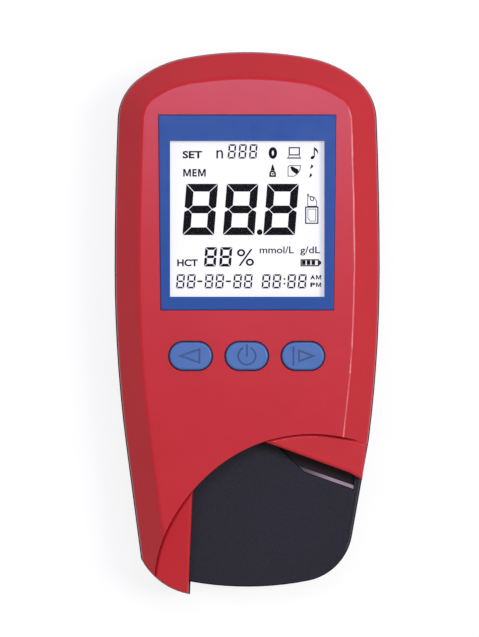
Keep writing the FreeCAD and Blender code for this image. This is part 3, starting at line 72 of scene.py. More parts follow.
# Corners of a heavy M in a box of 1 by 1.
HEAVY_M = (
    (0, 0), (0.19, 0), (0.19, 0.7), (0.4, 0.05), (0.6, 0.05), (0.81, 0.7), (0.81, 0),
    (1, 0), (1, 1), (0.74, 1), (0.5, 0.3), (0.26, 1), (0, 1),
)

Colour = tuple[float, float, float]
Point = tuple[float, float]
Box = tuple[float, float, float, float]
Triple = tuple[float, float, float]
Socket = bpy.types.NodeSocket


class Body(Enum):
    """The bodies of the part that new pieces ride on."""

    CASE = "case"


class Slot(Enum):
    """The material slots of the record that new pieces use."""

    INK = "segment_ink"


class Axis(Enum):
    """The axes along which a finish can change."""

    X = "X"
    Y = "Y"
    Z = "Z"


# ---------------------------------------------------------------- materials


class Recipe:
    """One node material under construction, with short calls that add and join its nodes."""

    def __init__(self, name: str) -> None:
        """Start an empty material with a principled shader and its output.

        Args:
            name: name of the material.
        """
        self.material = bpy.data.materials.new(name)
        self.material.use_nodes = True
        self.tree = self.material.node_tree
        self.tree.nodes.clear()
        self.shader = self.add("ShaderNodeBsdfPrincipled")
        self.output = self.add("ShaderNodeOutputMaterial")
        self.join(self.shader.outputs[0], self.output.inputs[0])

    def add(self, kind: str, **settings: object) -> bpy.types.Node:
        """Add a node.

        Args:
            kind: the node's type.
            settings: its properties.

        Returns:
            The new node.
        """
        node = self.tree.nodes.new(kind)
        for key, value in settings.items():
            setattr(node, key, value)
        return node

    def join(self, source: Socket, target: Socket) -> None:
        """Link one socket to another."""
        self.tree.links.new(source, target)

    def set(self, **values: object) -> None:
        """Set constants on the shader's own sockets, by their names with _ for a space."""
        for key, value in values.items():
            self.shader.inputs[key.replace("_", " ")].default_value = value

    def place(self, stretch: Triple = (1, 1, 1)) -> Socket:
        """Give object coordinates.

        Args:
            stretch: scale along each axis, for a grain that runs one way.

        Returns:
            The vector socket.
        """
        mapping = self.add("ShaderNodeMapping")
        mapping.inputs["Scale"].default_value = stretch
        self.join(self.add("ShaderNodeTexCoord").outputs["Object"], mapping.inputs["Vector"])
        return mapping.outputs["Vector"]

    def noise(self, grain: float, detail: float = 2.0, stretch: Triple = (1, 1, 1)) -> Socket:
        """Give a noise from 0 to 1.

        Args:
            grain: size of its patches in millimetres.
            detail: number of finer layers.
            stretch: scale along each axis.

        Returns:
            The factor socket.
        """
        texture = self.add("ShaderNodeTexNoise")
        texture.inputs["Scale"].default_value = 1 / (grain * MM)
        texture.inputs["Detail"].default_value = detail
        self.join(self.place(stretch), texture.inputs["Vector"])
        return texture.outputs["Fac"]

    def pebbles(self, grain: float) -> Socket:
        """Give the distance to scattered points, for a pebbled surface.

        Args:
            grain: spacing of the points in millimetres.

        Returns:
            The distance socket.
        """
        texture = self.add("ShaderNodeTexVoronoi", feature="SMOOTH_F1")
        texture.inputs["Scale"].default_value = 1 / (grain * MM)
        self.join(self.place(), texture.inputs["Vector"])
        return texture.outputs["Distance"]

    def coordinate(self, axis: Axis) -> Socket:
        """Give the object coordinate along one axis, in metres."""
        split = self.add("ShaderNodeSeparateXYZ")
        self.join(self.add("ShaderNodeTexCoord").outputs["Object"], split.inputs[0])
        return split.outputs[axis.value]

    def span(self, source: Socket, start: float, end: float, low: float, high: float) -> Socket:
        """Map a value from start..end to low..high, held at both ends.

        Args:
            source: the value.
            start: value that gives low.
            end: value that gives high.
            low: result at start.
            high: result at end.

        Returns:
            The result socket.
        """
        node = self.add("ShaderNodeMapRange", clamp=True)
        for index, value in enumerate((start, end, low, high), start=1):
            node.inputs[index].default_value = value
        self.join(source, node.inputs["Value"])
        return node.outputs["Result"]

    def blend(self, factor: Socket, first: Colour | Socket, second: Colour | Socket) -> Socket:
        """Mix two colours.

        Args:
            factor: 0 gives first, 1 gives second.
            first: a colour or a colour socket.
            second: a colour or a colour socket.

        Returns:
            The colour socket.
        """
        node = self.add("ShaderNodeMix", data_type="RGBA")
        self.join(factor, node.inputs["Factor"])
        for index, value in zip(MIX_INPUTS, (first, second)):
            if isinstance(value, tuple):
                node.inputs[index].default_value = (*value, 1)
            else:
                self.join(value, node.inputs[index])
        return node.outputs[MIX_RESULT]

    def times(self, first: Socket, second: Socket) -> Socket:
        """Multiply two values."""
        node = self.add("ShaderNodeMath", operation="MULTIPLY")
        self.join(first, node.inputs[0])
        self.join(second, node.inputs[1])
        return node.outputs[0]

    def relief(self, source: Socket, depth: float, under: Socket | None = None) -> Socket:
        """Turn a value into a bumped normal.

        Args:
            source: the height, from 0 to 1.
            depth: depth of the relief in millimetres.
            under: a coarser relief below this one.

        Returns:
            The normal socket.
        """
        node = self.add("ShaderNodeBump")
        node.inputs["Strength"].default_value = 1.0
        node.inputs["Distance"].default_value = depth * MM
        self.join(source, node.inputs["Height"])
        if under is not None:
            self.join(under, node.inputs["Normal"])
        return node.outputs["Normal"]

    def colour(self, socket: Socket) -> None:
        """Join a colour to the shader."""
        self.join(socket, self.shader.inputs["Base Color"])

    def roughness(self, socket: Socket) -> None:
        """Join a roughness to the shader."""
        self.join(socket, self.shader.inputs["Roughness"])

    def normal(self, socket: Socket) -> None:
        """Join a normal to the shader."""
        self.join(socket, self.shader.inputs["Normal"])


@dataclass(frozen=True)
class Finish:
    """What every finish has: a name, a colour, the colour of its slow patches and its gloss."""

    name: str
    colour: Colour
    patches: Colour
    roughness: float
    spread: float = 0.06
    specular: float = 0.5
    patch_size: float = 18.0
    uneven_size: float = 1.2
    uneven_depth: float = 0.002

    def material(self) -> bpy.types.Material:
        """Build the material.

        Returns:
            The finished material.
        """
        recipe = Recipe(self.name)
        recipe.set(Specular_IOR_Level=self.specular)
        self.tint(recipe)
        self.gloss(recipe)
        self.surface(recipe)
        return recipe.material

    def tint(self, recipe: Recipe) -> None:
        """Colour the surface; a plain finish shows only its ground."""
        recipe.colour(self.ground(recipe))

    def ground(self, recipe: Recipe) -> Socket:
        """Give the finish's colour with its slow, faint patches.

        Args:
            recipe: the material under construction.

        Returns:
            The colour socket.
        """
        patches = recipe.span(recipe.noise(self.patch_size, detail=3.0), *PATCH_FADE, 0.0, 1.0)
        return recipe.blend(patches, self.colour, self.patches)

    def gloss(self, recipe: Recipe) -> None:
        """Vary the roughness, as handling does."""
        self.vary_gloss(recipe, recipe.noise(self.patch_size / 5, detail=4.0), WEAR_FADE)

    def vary_gloss(self, recipe: Recipe, source: Socket, fade: Point) -> None:
        """Let a texture vary the roughness by the finish's spread.

        Args:
            recipe: the material under construction.
            source: the texture.
            fade: the part of its range over which the roughness changes.
        """
        low, high = self.roughness - self.spread, self.roughness + self.spread
        recipe.roughness(recipe.span(source, *fade, low, high))

    def surface(self, recipe: Recipe) -> None:
        """Give the surface its relief; a plain finish has a faint unevenness."""
        recipe.normal(recipe.relief(recipe.noise(self.uneven_size, detail=3.0), self.uneven_depth))


@dataclass(frozen=True)
class Moulding(Finish):
    """Moulded plastic with a fine grain on a slow waviness."""

    grain: float = 0.35
    grain_depth: float = 0.004
    wave: float = 9.0
    wave_depth: float = 0.02

    def surface(self, recipe: Recipe) -> None:
        """Lay the fine grain of the mould over its slow waves."""
        waves = recipe.relief(recipe.noise(self.wave, detail=1.0), self.wave_depth)
        recipe.normal(recipe.relief(recipe.noise(self.grain), self.grain_depth, waves))


@dataclass(frozen=True)
class Pebbled(Moulding):
    """Moulded plastic or rubber with a pebbled texture and paler tips."""

    tips: Colour = (0.05, 0.05, 0.055)
    tip_share: float = 0.35

    def tint(self, recipe: Recipe) -> None:
        """Lay the texture's paler tips over the ground."""
        tips = recipe.span(recipe.pebbles(self.grain), *PEBBLE_FADE, self.tip_share, 0.0)
        recipe.colour(recipe.blend(tips, self.ground(recipe), self.tips))

    def surface(self, recipe: Recipe) -> None:
        """Lay pebbles over slow waves."""
        waves = recipe.relief(recipe.noise(self.wave, detail=1.0), self.wave_depth)
        pebbles = recipe.span(recipe.pebbles(self.grain), *PEBBLE_FADE, 1.0, 0.0)
        recipe.normal(recipe.relief(pebbles, self.grain_depth, waves))


@dataclass(frozen=True)
class KeyCap(Moulding):
    """Key plastic darker below its face: icon ink in its grooves, and painted shade on its rounded rim."""

    icon_ink_and_rim_shade: Colour = (0.03, 0.06, 0.2)
    face_z: float = 24.97
    groove_z: float = 24.83

    def tint(self, recipe: Recipe) -> None:
        """Darken the colour below the face, as icon ink in the grooves and as painted shade on the rounded
        rim.
        """
        depth = recipe.span(recipe.coordinate(Axis.Z), self.groove_z * MM, self.face_z * MM, 1.0, 0.0)
        recipe.colour(recipe.blend(depth, self.ground(recipe), self.icon_ink_and_rim_shade))


@dataclass(frozen=True)
class GuideMoulding(Moulding):
    """Pale lip of the strip guide on a channel painted dark maroon as shade with a reflected red tint, the
    lip painted darker towards its inner end.
    """

    # Colour of the channel below the lip: painted shade, tinted as a painted reflection of the red wing.
    recess_painted_shade: Colour = (0.02, 0.01, 0.01)
    lip_z: float = 14.2
    # Along x the lip goes from painted shade at lip_start to a painted highlight at lip_full.
    lip_start: float = 14.0
    lip_full: float = 20.5
    lip_rise: float = 0.1
    lip_shade: float = 0.25

    def tint(self, recipe: Recipe) -> None:
        """Paint shade into the channel below the lip, and paint the lip darker towards its inner end as shade
        and full towards its outer end as a highlight.
        """
        top = self.lip_z + self.lip_rise
        raised = recipe.span(recipe.coordinate(Axis.Z), self.lip_z * MM, top * MM, 0.0, 1.0)
        along = recipe.coordinate(Axis.X)
        lit = recipe.span(along, self.lip_start * MM, self.lip_full * MM, self.lip_shade, 1.0)
        recipe.colour(recipe.blend(recipe.times(raised, lit), self.recess_painted_shade, self.ground(recipe)))


@dataclass(frozen=True)
class Pane(Finish):
    """Clear plastic window with a faint tint and fine wiping marks."""

    opacity: float = 0.03
    mark_size: float = 0.5
    mark_run: Triple = (1.0, 0.15, 1.0)
    mark_depth: float = 0.001

    def material(self) -> bpy.types.Material:
        """Build the clear material.

        Returns:
            The finished material.
        """
        recipe = Recipe(self.name)
        recipe.set(Specular_IOR_Level=self.specular, Alpha=self.opacity)
        self.tint(recipe)
        self.gloss(recipe)
        marks = recipe.noise(self.mark_size, 3.0, self.mark_run)
        recipe.normal(recipe.relief(marks, self.mark_depth))
        return recipe.material


@dataclass(frozen=True)
class DisplayCell(Finish):
    """White reflective cell with a barely visible grid of electrodes, which glows as if backlit, strongly
    enough to paint out the shade cast on it.
    """

    grid: float = 0.6
    line_share: float = 0.03
    line_depth: float = 0.0008
    backlight_and_painted_fill: float = 0.46

    def surface(self, recipe: Recipe) -> None:
        """Press a very faint grid into the white layer, and make it glow: part backlight, part painted light
        that fills the shade cast on it.
        """
        recipe.set(Emission_Color=WHITE, Emission_Strength=self.backlight_and_painted_fill)
        texture = recipe.add("ShaderNodeTexBrick", offset=0.0)
        texture.inputs["Scale"].default_value = 1 / (self.grid * MM)
        texture.inputs["Mortar Size"].default_value = self.line_share
        texture.inputs["Brick Width"].default_value = 1.0
        texture.inputs["Row Height"].default_value = 1.0
        recipe.join(recipe.place(), texture.inputs["Vector"])
        recipe.normal(recipe.relief(texture.outputs["Fac"], self.line_depth))


@dataclass(frozen=True)
class Metal(Finish):
    """Plain metal, brushed or rolled along one axis."""

    run: Triple = (0.08, 1.0, 1.0)
    brush: float = 0.12
    brush_depth: float = 0.002

    def material(self) -> bpy.types.Material:
        """Build the metal.

        Returns:
            The finished material.
        """
        recipe = Recipe(self.name)
        recipe.set(Metallic=1.0)
        self.tint(recipe)
        lines = recipe.noise(self.brush, 3.0, self.run)
        self.vary_gloss(recipe, lines, BRUSH_FADE)
        recipe.normal(recipe.relief(lines, self.brush_depth))
        return recipe.material


@dataclass(frozen=True)
class CircuitBoard(Finish):
    """Green solder mask over copper tracks, which run in steps across the board."""

    track: Colour = (0.03, 0.26, 0.1)
    spacing: float = 2.4
    track_width: float = 0.07
    track_softness: float = 0.3
    track_length: float = 3.1
    track_row: float = 0.6
    track_depth: float = 0.02
    weave_size: float = 0.5
    weave_depth: float = 0.002

    def tracks(self, recipe: Recipe) -> Socket:
        """Give the mask of the tracks: 1 on a track.

        Args:
            recipe: the material under construction.

        Returns:
            The factor socket.
        """
        texture = recipe.add("ShaderNodeTexBrick", offset=0.37, squash=1.6, squash_frequency=3)
        texture.inputs["Scale"].default_value = 1 / (self.spacing * MM)
        texture.inputs["Mortar Size"].default_value = self.track_width
        texture.inputs["Mortar Smooth"].default_value = self.track_softness
        texture.inputs["Brick Width"].default_value = self.track_length
        texture.inputs["Row Height"].default_value = self.track_row
        recipe.join(recipe.place(), texture.inputs["Vector"])
        return texture.outputs["Fac"]

    def tint(self, recipe: Recipe) -> None:
        """Show the copper through the mask."""
        recipe.colour(recipe.blend(self.tracks(recipe), self.ground(recipe), self.track))

    def surface(self, recipe: Recipe) -> None:
        """Raise the mask over the tracks."""
        weave = recipe.relief(recipe.noise(self.weave_size), self.weave_depth)
        recipe.normal(recipe.relief(self.tracks(recipe), self.track_depth, weave))


@dataclass(frozen=True)
class CellJacket(Finish):
    """Printed jacket of a battery with its bare metal at both ends along y."""

    bare: Colour = (0.62, 0.62, 0.6)
    jacket_low: float = 0.0
    jacket_high: float = 40.0
    band_share: float = 0.28
    edge: float = 0.05

    def step(self, recipe: Recipe, place: float, before: float, after: float) -> Socket:
        """Change from one value to another at a place along y.

        Args:
            recipe: the material under construction.
            place: where the value changes.
            before: value below that place.
            after: value above it.

        Returns:
            The value's socket.
        """
        start, end = (place - self.edge) * MM, (place + self.edge) * MM
        return recipe.span(recipe.coordinate(Axis.Y), start, end, before, after)

    def ends(self, recipe: Recipe) -> Socket:
        """Give the mask of the bare ends: 1 on metal.

        Args:
            recipe: the material under construction.

        Returns:
            The factor socket.
        """
        node = recipe.add("ShaderNodeMath", operation="MAXIMUM")
        recipe.join(self.step(recipe, self.jacket_low, 1.0, 0.0), node.inputs[0])
        recipe.join(self.step(recipe, self.jacket_high, 0.0, 1.0), node.inputs[1])
        return node.outputs[0]

    def tint(self, recipe: Recipe) -> None:
        """Lay a paler band and bare ends on the jacket."""
        ends = self.ends(recipe)
        band_end = self.jacket_low * (1 - self.band_share) + self.jacket_high * self.band_share
        jacket = recipe.blend(self.step(recipe, band_end, 1.0, 0.0), self.colour, self.patches)
        recipe.colour(recipe.blend(ends, jacket, self.bare))
        recipe.join(ends, recipe.shader.inputs["Metallic"])


@dataclass(frozen=True)
class Striped(Finish):
    """Fine stripes across one axis, as in a strip connector or a flexible cable."""

    stripe: Colour = (0.02, 0.02, 0.02)
    pitch: float = 0.5
    share: float = 0.45
    edge: float = 0.05

    def tint(self, recipe: Recipe) -> None:
        """Lay the stripes."""
        wave = recipe.add("ShaderNodeTexWave", wave_type="BANDS", bands_direction="X")
        wave.inputs["Scale"].default_value = math.tau / (WAVE_PHASE * self.pitch * MM)
        wave.inputs["Distortion"].default_value = 0.0
        recipe.join(recipe.place(), wave.inputs["Vector"])
        lines = recipe.span(wave.outputs["Fac"], self.share - self.edge, self.share + self.edge, 1.0, 0.0)
        recipe.colour(recipe.blend(lines, self.ground(recipe), self.stripe))


RED_SHELL = Moulding(
    "red_shell", (0.425, 0.014, 0.021), (0.41, 0.0125, 0.019), 0.24,
    spread=0.015, specular=0.2, grain=0.45, grain_depth=0.003, wave=14.0, wave_depth=0.012,
)
DARK_SHELL = Pebbled(
    "dark_shell", (0.0055, 0.0048, 0.0095), (0.007, 0.0062, 0.0115), 0.5,
    spread=0.05, specular=0.14, grain=0.4, grain_depth=0.01, tips=(0.021, 0.021, 0.03),
)
BLUE_SURROUND = Moulding(
    "blue_surround", (0.0065, 0.052, 0.225), (0.005, 0.048, 0.215), 0.38,
    specular=0.15, grain=0.3, grain_depth=0.003,
)
# Below the key's face its colour darkens: icon ink in the grooves, painted shade on the rim.
KEY_BLUE = KeyCap(
    "key_blue", (0.047, 0.118, 0.305), (0.042, 0.11, 0.295), 0.3,
    specular=0.24, icon_ink_and_rim_shade=(0.026, 0.062, 0.17), grain=0.3, grain_depth=0.004,
)
CLEAR_WINDOW = Pane(
    "clear_window", (0.03, 0.032, 0.035), (0.02, 0.022, 0.025), 0.06, spread=0.03, specular=0.4,
)
# The cell's colour stays low because its glow paints in much of its light.
DISPLAY_CELL = DisplayCell("display_cell", (0.5, 0.505, 0.505), (0.49, 0.495, 0.497), 0.5, specular=0.1)
SEGMENT_INK = Finish(
    "segment_ink", (0.003, 0.003, 0.004), (0.004, 0.004, 0.005), 0.6, specular=0.03, patch_size=4.0,
)
WHITE_PLASTIC = Moulding("white_plastic", (0.8, 0.8, 0.78), (0.77, 0.77, 0.74), 0.5)
LIGHT_GUIDE = Moulding("light_guide", (0.85, 0.87, 0.85), (0.8, 0.84, 0.83), 0.25)
STRIP_RUBBER = Striped("strip_rubber", (0.5, 0.5, 0.5), (0.45, 0.45, 0.45), 0.6, pitch=0.36)
# The guide's channel colour is painted shade; its lip fades from painted shade to a painted highlight.
GUIDE_PLASTIC = GuideMoulding(
    "guide_plastic", (0.3, 0.22, 0.27), (0.26, 0.19, 0.23), 0.4, specular=0.14, recess_painted_shade=(0.01, 0.002, 0.004),
)
CHIP_BLACK = Pebbled(
    "chip_black", (0.016, 0.016, 0.017), (0.022, 0.022, 0.023), 0.6, grain=0.25, grain_depth=0.006,
)
BOARD_GREEN = CircuitBoard("board_green", (0.012, 0.13, 0.045), (0.015, 0.15, 0.055), 0.35, specular=0.5)
SCREW_STEEL = Metal("screw_steel", (0.52, 0.52, 0.53), (0.47, 0.47, 0.48), 0.38, spread=0.1)
CONTACT_METAL = Metal(
    "contact_metal", (0.63, 0.61, 0.56), (0.58, 0.56, 0.5), 0.3, spread=0.1, run=(1.0, 0.1, 0.1),
)
CELL_JACKET = CellJacket("cell_jacket", (0.03, 0.032, 0.036), (0.5, 0.5, 0.52), 0.32)
FLEX_FILM = Striped(
    "flex_film", (0.5, 0.2, 0.03), (0.44, 0.17, 0.02), 0.4, stripe=(0.62, 0.34, 0.08), pitch=0.6,
)
FOOT_RUBBER = Pebbled(
    "foot_rubber", (0.03, 0.03, 0.03), (0.038, 0.038, 0.038), 0.8,
    specular=0.25, grain=0.5, grain_depth=0.015, tips=(0.06, 0.06, 0.06),
)


class Palette:
    """Builds each finish once and hands out its material."""

    def __init__(self) -> None:
        """Start with no material."""
        self.made: dict[Finish, bpy.types.Material] = {}

    def get(self, finish: Finish) -> bpy.types.Material:
        """Give a finish's material.

        Args:
            finish: the finish.

        Returns:
            Its material, built at the first call.
        """
        if finish not in self.made:
            self.made[finish] = finish.material()
        return self.made[finish]


# ---------------------------------------------------------------- flat ink


@dataclass
class InkSheet:
    """Flat shapes drawn in millimetres at one height, which end as one thin raised piece."""

    name: str
    bottom: float
    thickness: float
    ellipse_sides: int = 28
    letter_steps: int = 4
    weld: float = 0.002
    mesh: bmesh.types.BMesh = field(default_factory=bmesh.new)

    def polygon(self, corners: list[Point]) -> bmesh.types.BMFace:
        """Draw a filled polygon.

        Args:
            corners: its corners in order.

        Returns:
            The face.
        """
        face = self.mesh.faces.new([self.mesh.verts.new((x, y, 0)) for x, y in corners])
        face.normal_update()
        return face

    def rectangle(self, box: Box) -> bmesh.types.BMFace:
        """Draw a filled rectangle given as left, bottom, right and top."""
        left, bottom, right, top = box
        return self.polygon([(left, bottom), (right, bottom), (right, top), (left, top)])

    def ellipse(self, centre: Point, radii: Point, tilt: float = 0.0) -> bmesh.types.BMFace:
        """Draw a filled ellipse.

        Args:
            centre: its centre.
            radii: half its length along x and y before it turns.
            tilt: turn in degrees, anticlockwise.

        Returns:
            The face.
        """
        place = (
            Matrix.Translation((*centre, 0))
            @ Matrix.Rotation(math.radians(tilt), 4, "Z")
            @ Matrix.Diagonal((*radii, 1, 1))
        )
        ring = bmesh.ops.create_circle(
            self.mesh, cap_ends=True, segments=self.ellipse_sides, radius=1.0, matrix=place
        )
        return ring["verts"][0].link_faces[0]

    def hollow(self, face: bmesh.types.BMFace, width: float) -> None:
        """Leave only a rim of a face.

        Args:
            face: the filled face.
            width: width of the rim.
        """
        bmesh.ops.inset_region(
            self.mesh, faces=[face], thickness=width, use_even_offset=True, use_boundary=True
        )
        bmesh.ops.delete(self.mesh, geom=[face], context="FACES")

    def words(self, text: str, box: Box, weight: float = 0.0) -> None:
        """Set a word so that it fills a box.

        Args:
            text: the word.
            box: left, bottom, right and top of its ink.
            weight: how much each stroke is thickened, as a share of the letter's size.
        """
        curve = bpy.data.curves.new("word", "FONT")
        curve.body = text
        curve.offset = weight
        curve.resolution_u = self.letter_steps
        holder = bpy.data.objects.new("word", curve)
        flat = bpy.data.meshes.new_from_object(holder)
        xs = [v.co.x for v in flat.vertices]
        ys = [v.co.y for v in flat.vertices]
        left, bottom, right, top = box
        scale = ((right - left) / (max(xs) - min(xs)), (top - bottom) / (max(ys) - min(ys)))
        flat.transform(
            Matrix.Translation((left, bottom, 0))
            @ Matrix.Diagonal((*scale, 1, 1))
            @ Matrix.Translation((-min(xs), -min(ys), 0))
        )
        self.mesh.from_mesh(flat)
        bpy.data.objects.remove(holder)
        bpy.data.curves.remove(curve)
        bpy.data.meshes.remove(flat)

    def letter_m(self, box: Box) -> None:
        """Set a heavy M, whose narrow notches a thickened outline would close.

        Args:
            box: left, bottom, right and top of its ink.
        """
        left, bottom, right, top = box
        self.polygon([(left + x * (right - left), bottom + y * (top - bottom)) for x, y in HEAVY_M])

    def finish(self, material: bpy.types.Material, body: Body, slot: Slot) -> bpy.types.Object:
        """Raise the ink, put it in place and make it an object.

        Args:
            material: its material.
            body: the body that it rides on.
            slot: not used.

        Returns:
            The object.
        """
        bmesh.ops.remove_doubles(self.mesh, verts=self.mesh.verts, dist=self.weld)
        raised = bmesh.ops.extrude_face_region(self.mesh, geom=self.mesh.faces[:])
        lifted = [item for item in raised["geom"] if isinstance(item, bmesh.types.BMVert)]
        bmesh.ops.translate(self.mesh, verts=lifted, vec=(0, 0, self.thickness))
        bmesh.ops.recalc_face_normals(self.mesh, faces=self.mesh.faces)
        place = Matrix.Scale(MM, 4) @ Matrix.Translation((0, 0, self.bottom))
        bmesh.ops.transform(self.mesh, matrix=place, verts=self.mesh.verts)
        return finished_piece(self.name, self.mesh, material, body)


def finished_piece(
    name: str, mesh: bmesh.types.BMesh, material: bpy.types.Material, body: Body
) -> bpy.types.Object:
    """Make an object of a mesh that is already in place.

    Args:
        name: name of the piece.
        mesh: its mesh in metres, which is freed.
        material: its material.
        body: the body that it rides on.

    Returns:
        The object.
    """
    data = bpy.data.meshes.new(name)
    mesh.to_mesh(data)
    mesh.free()
    data.materials.append(material)
    piece = bpy.data.objects.new(name, data)
    bpy.context.scene.collection.objects.link(piece)
    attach(piece, body.value)
    LOG.info("%s: %d faces, rides on %s", name, len(data.polygons), body.value)
    return piece


# ---------------------------------------------------------------- sub-assemblies


@dataclass
class SubAssembly:
    """A group of nodes that are dressed together."""

    nodes: dict[str, bpy.types.Object]
    palette: Palette

    def dress(self, finishes: dict[str, Finish]) -> None:
        """Give nodes their finishes.

        Args:
            finishes: the finish of each node, by its name.
        """
        for name, finish in finishes.items():
            for material_slot in self.nodes[name].material_slots:
                material_slot.material = self.palette.get(finish)
            LOG.info("%s: %s", name, finish.name)


@dataclass
class CaseShells(SubAssembly):
    """Red upper shell, dark lower tray, dark deck, their screws and the feet."""

    def build(self) -> None:
        """Dress the shells."""
        self.dress({
            "front_cover": RED_SHELL,
            "rear_cover": DARK_SHELL,
            "nose_cover": DARK_SHELL,
            "case_screws": SCREW_STEEL,
            "nose_screws": SCREW_STEEL,
            "rubber_feet": FOOT_RUBBER,
        })


@dataclass
class DisplayStack(SubAssembly):
    """Blue surround, window, display cell with its printing, and what carries the cell."""

    ink_z: float = 22.3
    ink_thickness: float = 0.05
    heavy: float = 0.03
    medium: float = 0.01
    light: float = 0.004
    tiny: float = 0.045

    def build(self) -> None:
        """Dress the stack and print the words and signs on the cell."""
        self.dress({
            "display_bezel": BLUE_SURROUND,
            "display_lens": CLEAR_WINDOW,
            "lcd_glass": DISPLAY_CELL,
            "lcd_segments": SEGMENT_INK,
            "lcd_frame": WHITE_PLASTIC,
            "lcd_backlight": LIGHT_GUIDE,
            "lcd_connector_strips": STRIP_RUBBER,
        })
        self.print_words()
        self.print_signs()

    def print_words(self) -> None:
        """Print the plain words and units."""
        sheet = InkSheet("display_words", self.ink_z, self.ink_thickness)
        sheet.words("SET", (-15.5, 39.5, -10.8, 41.3), self.heavy)
        sheet.words("n", (-7.4, 39.5, -5.8, 41.5), self.light)
        sheet.letter_m((-15.35, 35.15, -13.5, 36.95))
        sheet.words("E", (-13.15, 35.15, -12.1, 36.95), self.heavy)
        sheet.letter_m((-11.8, 35.15, -9.95, 36.95))
        sheet.words("HCT", (-16.8, 13.6, -11.85, 15.3), self.heavy)
        sheet.words("%", (-2.45, 13.7, 1.63, 17.75))
        sheet.words("mmol/L", (3.0, 16.7, 11.2, 18.4), self.medium)
        sheet.words("g/dL", (12.7, 16.2, 17.5, 18.4), self.medium)
        for letter, low in (("A", 10.45), ("P", 8.65)):
            sheet.words(letter, (15.15, low, 16.3, low + 1.05), self.tiny)
            sheet.letter_m((16.5, low, 17.75, low + 1.05))
        sheet.finish(self.palette.get(SEGMENT_INK), Body.CASE, Slot.INK)

    def print_signs(self) -> None:
        """Print the small signs at the right and the battery's bars."""
        sheet = InkSheet("display_signs", self.ink_z, self.ink_thickness)
        for draw in (
            self.draw_radio, self.draw_computer, self.draw_note, self.draw_bottle,
            self.draw_shield, self.draw_flashes, self.draw_strip, self.draw_battery,
        ):
            draw(sheet)
        sheet.finish(self.palette.get(SEGMENT_INK), Body.CASE, Slot.INK)

    def draw_radio(self, sheet: InkSheet) -> None:
        """Draw a plain oval ring for the radio link."""
        sheet.hollow(sheet.ellipse((6.16, 40.8), (1.02, 1.42)), 0.76)

    def draw_computer(self, sheet: InkSheet) -> None:
        """Draw the foot under the computer's screen."""
        sheet.polygon([(9.5, 39.45), (13.0, 39.45), (12.8, 39.75), (9.7, 39.75)])
        sheet.polygon([(9.7, 39.8), (9.9, 39.8), (10.1, 40.15), (9.95, 40.15)])
        sheet.polygon([(12.6, 39.8), (12.8, 39.8), (12.6, 40.15), (12.45, 40.15)])

    def draw_note(self, sheet: InkSheet) -> None:
        """Draw a music note."""
        sheet.ellipse((15.68, 39.72), (0.52, 0.36), 35)
        sheet.rectangle((15.98, 39.9, 16.24, 42.15))
        sheet.polygon([
            (16.26, 42.15), (16.26, 41.5), (16.75, 41.05), (16.95, 40.5), (17.05, 40.95), (16.85, 41.55),
        ])

    def draw_bottle(self, sheet: InkSheet) -> None:
        """Draw a small bottle with a round mark on it."""
        sheet.polygon([(5.62, 36.62), (6.64, 36.62), (6.2, 38.05), (6.02, 38.05)])
        body = sheet.polygon([
            (5.3, 35.05), (6.9, 35.05), (6.9, 35.75), (6.88, 36.05),
            (6.5, 36.58), (5.68, 36.58), (5.32, 36.05),
        ])
        sheet.hollow(body, 0.4)
        sheet.ellipse((6.16, 35.8), (0.22, 0.22))

    def draw_shield(self, sheet: InkSheet) -> None:
        """Draw an open outline with a dark slanted bar in it."""
        outline = sheet.polygon([
            (9.72, 35.15), (11.3, 35.15), (12.3, 35.95), (12.75, 36.8),
            (12.9, 37.85), (10.1, 37.85), (9.72, 37.5),
        ])
        sheet.hollow(outline, 0.17)
        sheet.polygon([(10.3, 37.4), (10.8, 37.6), (12.3, 36.8), (12.3, 36.2), (11.75, 35.75), (10.75, 36.5)])

    def draw_flashes(self, sheet: InkSheet) -> None:
        """Draw the two short flashes."""
        for x, y in ((15.55, 37.55), (15.3, 35.45)):
            sheet.polygon([(x - 0.1, y + 0.6), (x + 0.32, y + 0.05), (x + 0.1, y - 0.25), (x - 0.5, y - 0.6)])

    def draw_strip(self, sheet: InkSheet) -> None:
        """Draw the neck of the test strip with a drop on it."""
        neck = sheet.polygon([(14.45, 27.95), (16.75, 27.95), (16.75, 29.2), (16.2, 30.2), (14.45, 30.6)])
        sheet.hollow(neck, 0.16)
        sheet.hollow(sheet.ellipse((15.55, 29.85), (0.5, 0.62), 20), 0.2)
        sheet.ellipse((14.6, 30.75), (0.2, 0.26))
        body = sheet.polygon([(14.5, 25.2), (15.1, 24.4), (16.5, 24.4), (16.5, 27.4), (14.5, 27.4)])
        sheet.hollow(body, 0.13)

    def draw_battery(self, sheet: InkSheet) -> None:
        """Draw three bars and the nub of the battery sign."""
        for left in (13.15, 14.3, 15.45):
            sheet.rectangle((left, 13.95, left + 0.85, 15.0))
        sheet.polygon([(17.22, 13.8), (17.75, 14.2), (17.75, 14.7), (17.22, 15.1)])


@dataclass
class KeyRow(SubAssembly):
    """Three keys with their plungers and switches."""

    def build(self) -> None:
        """Dress the keys."""
        for name in ("back", "power", "forward"):
            self.dress({f"key_{name}": KEY_BLUE, f"plunger_{name}": WHITE_PLASTIC})
        self.dress({"key_switches": CHIP_BLACK})


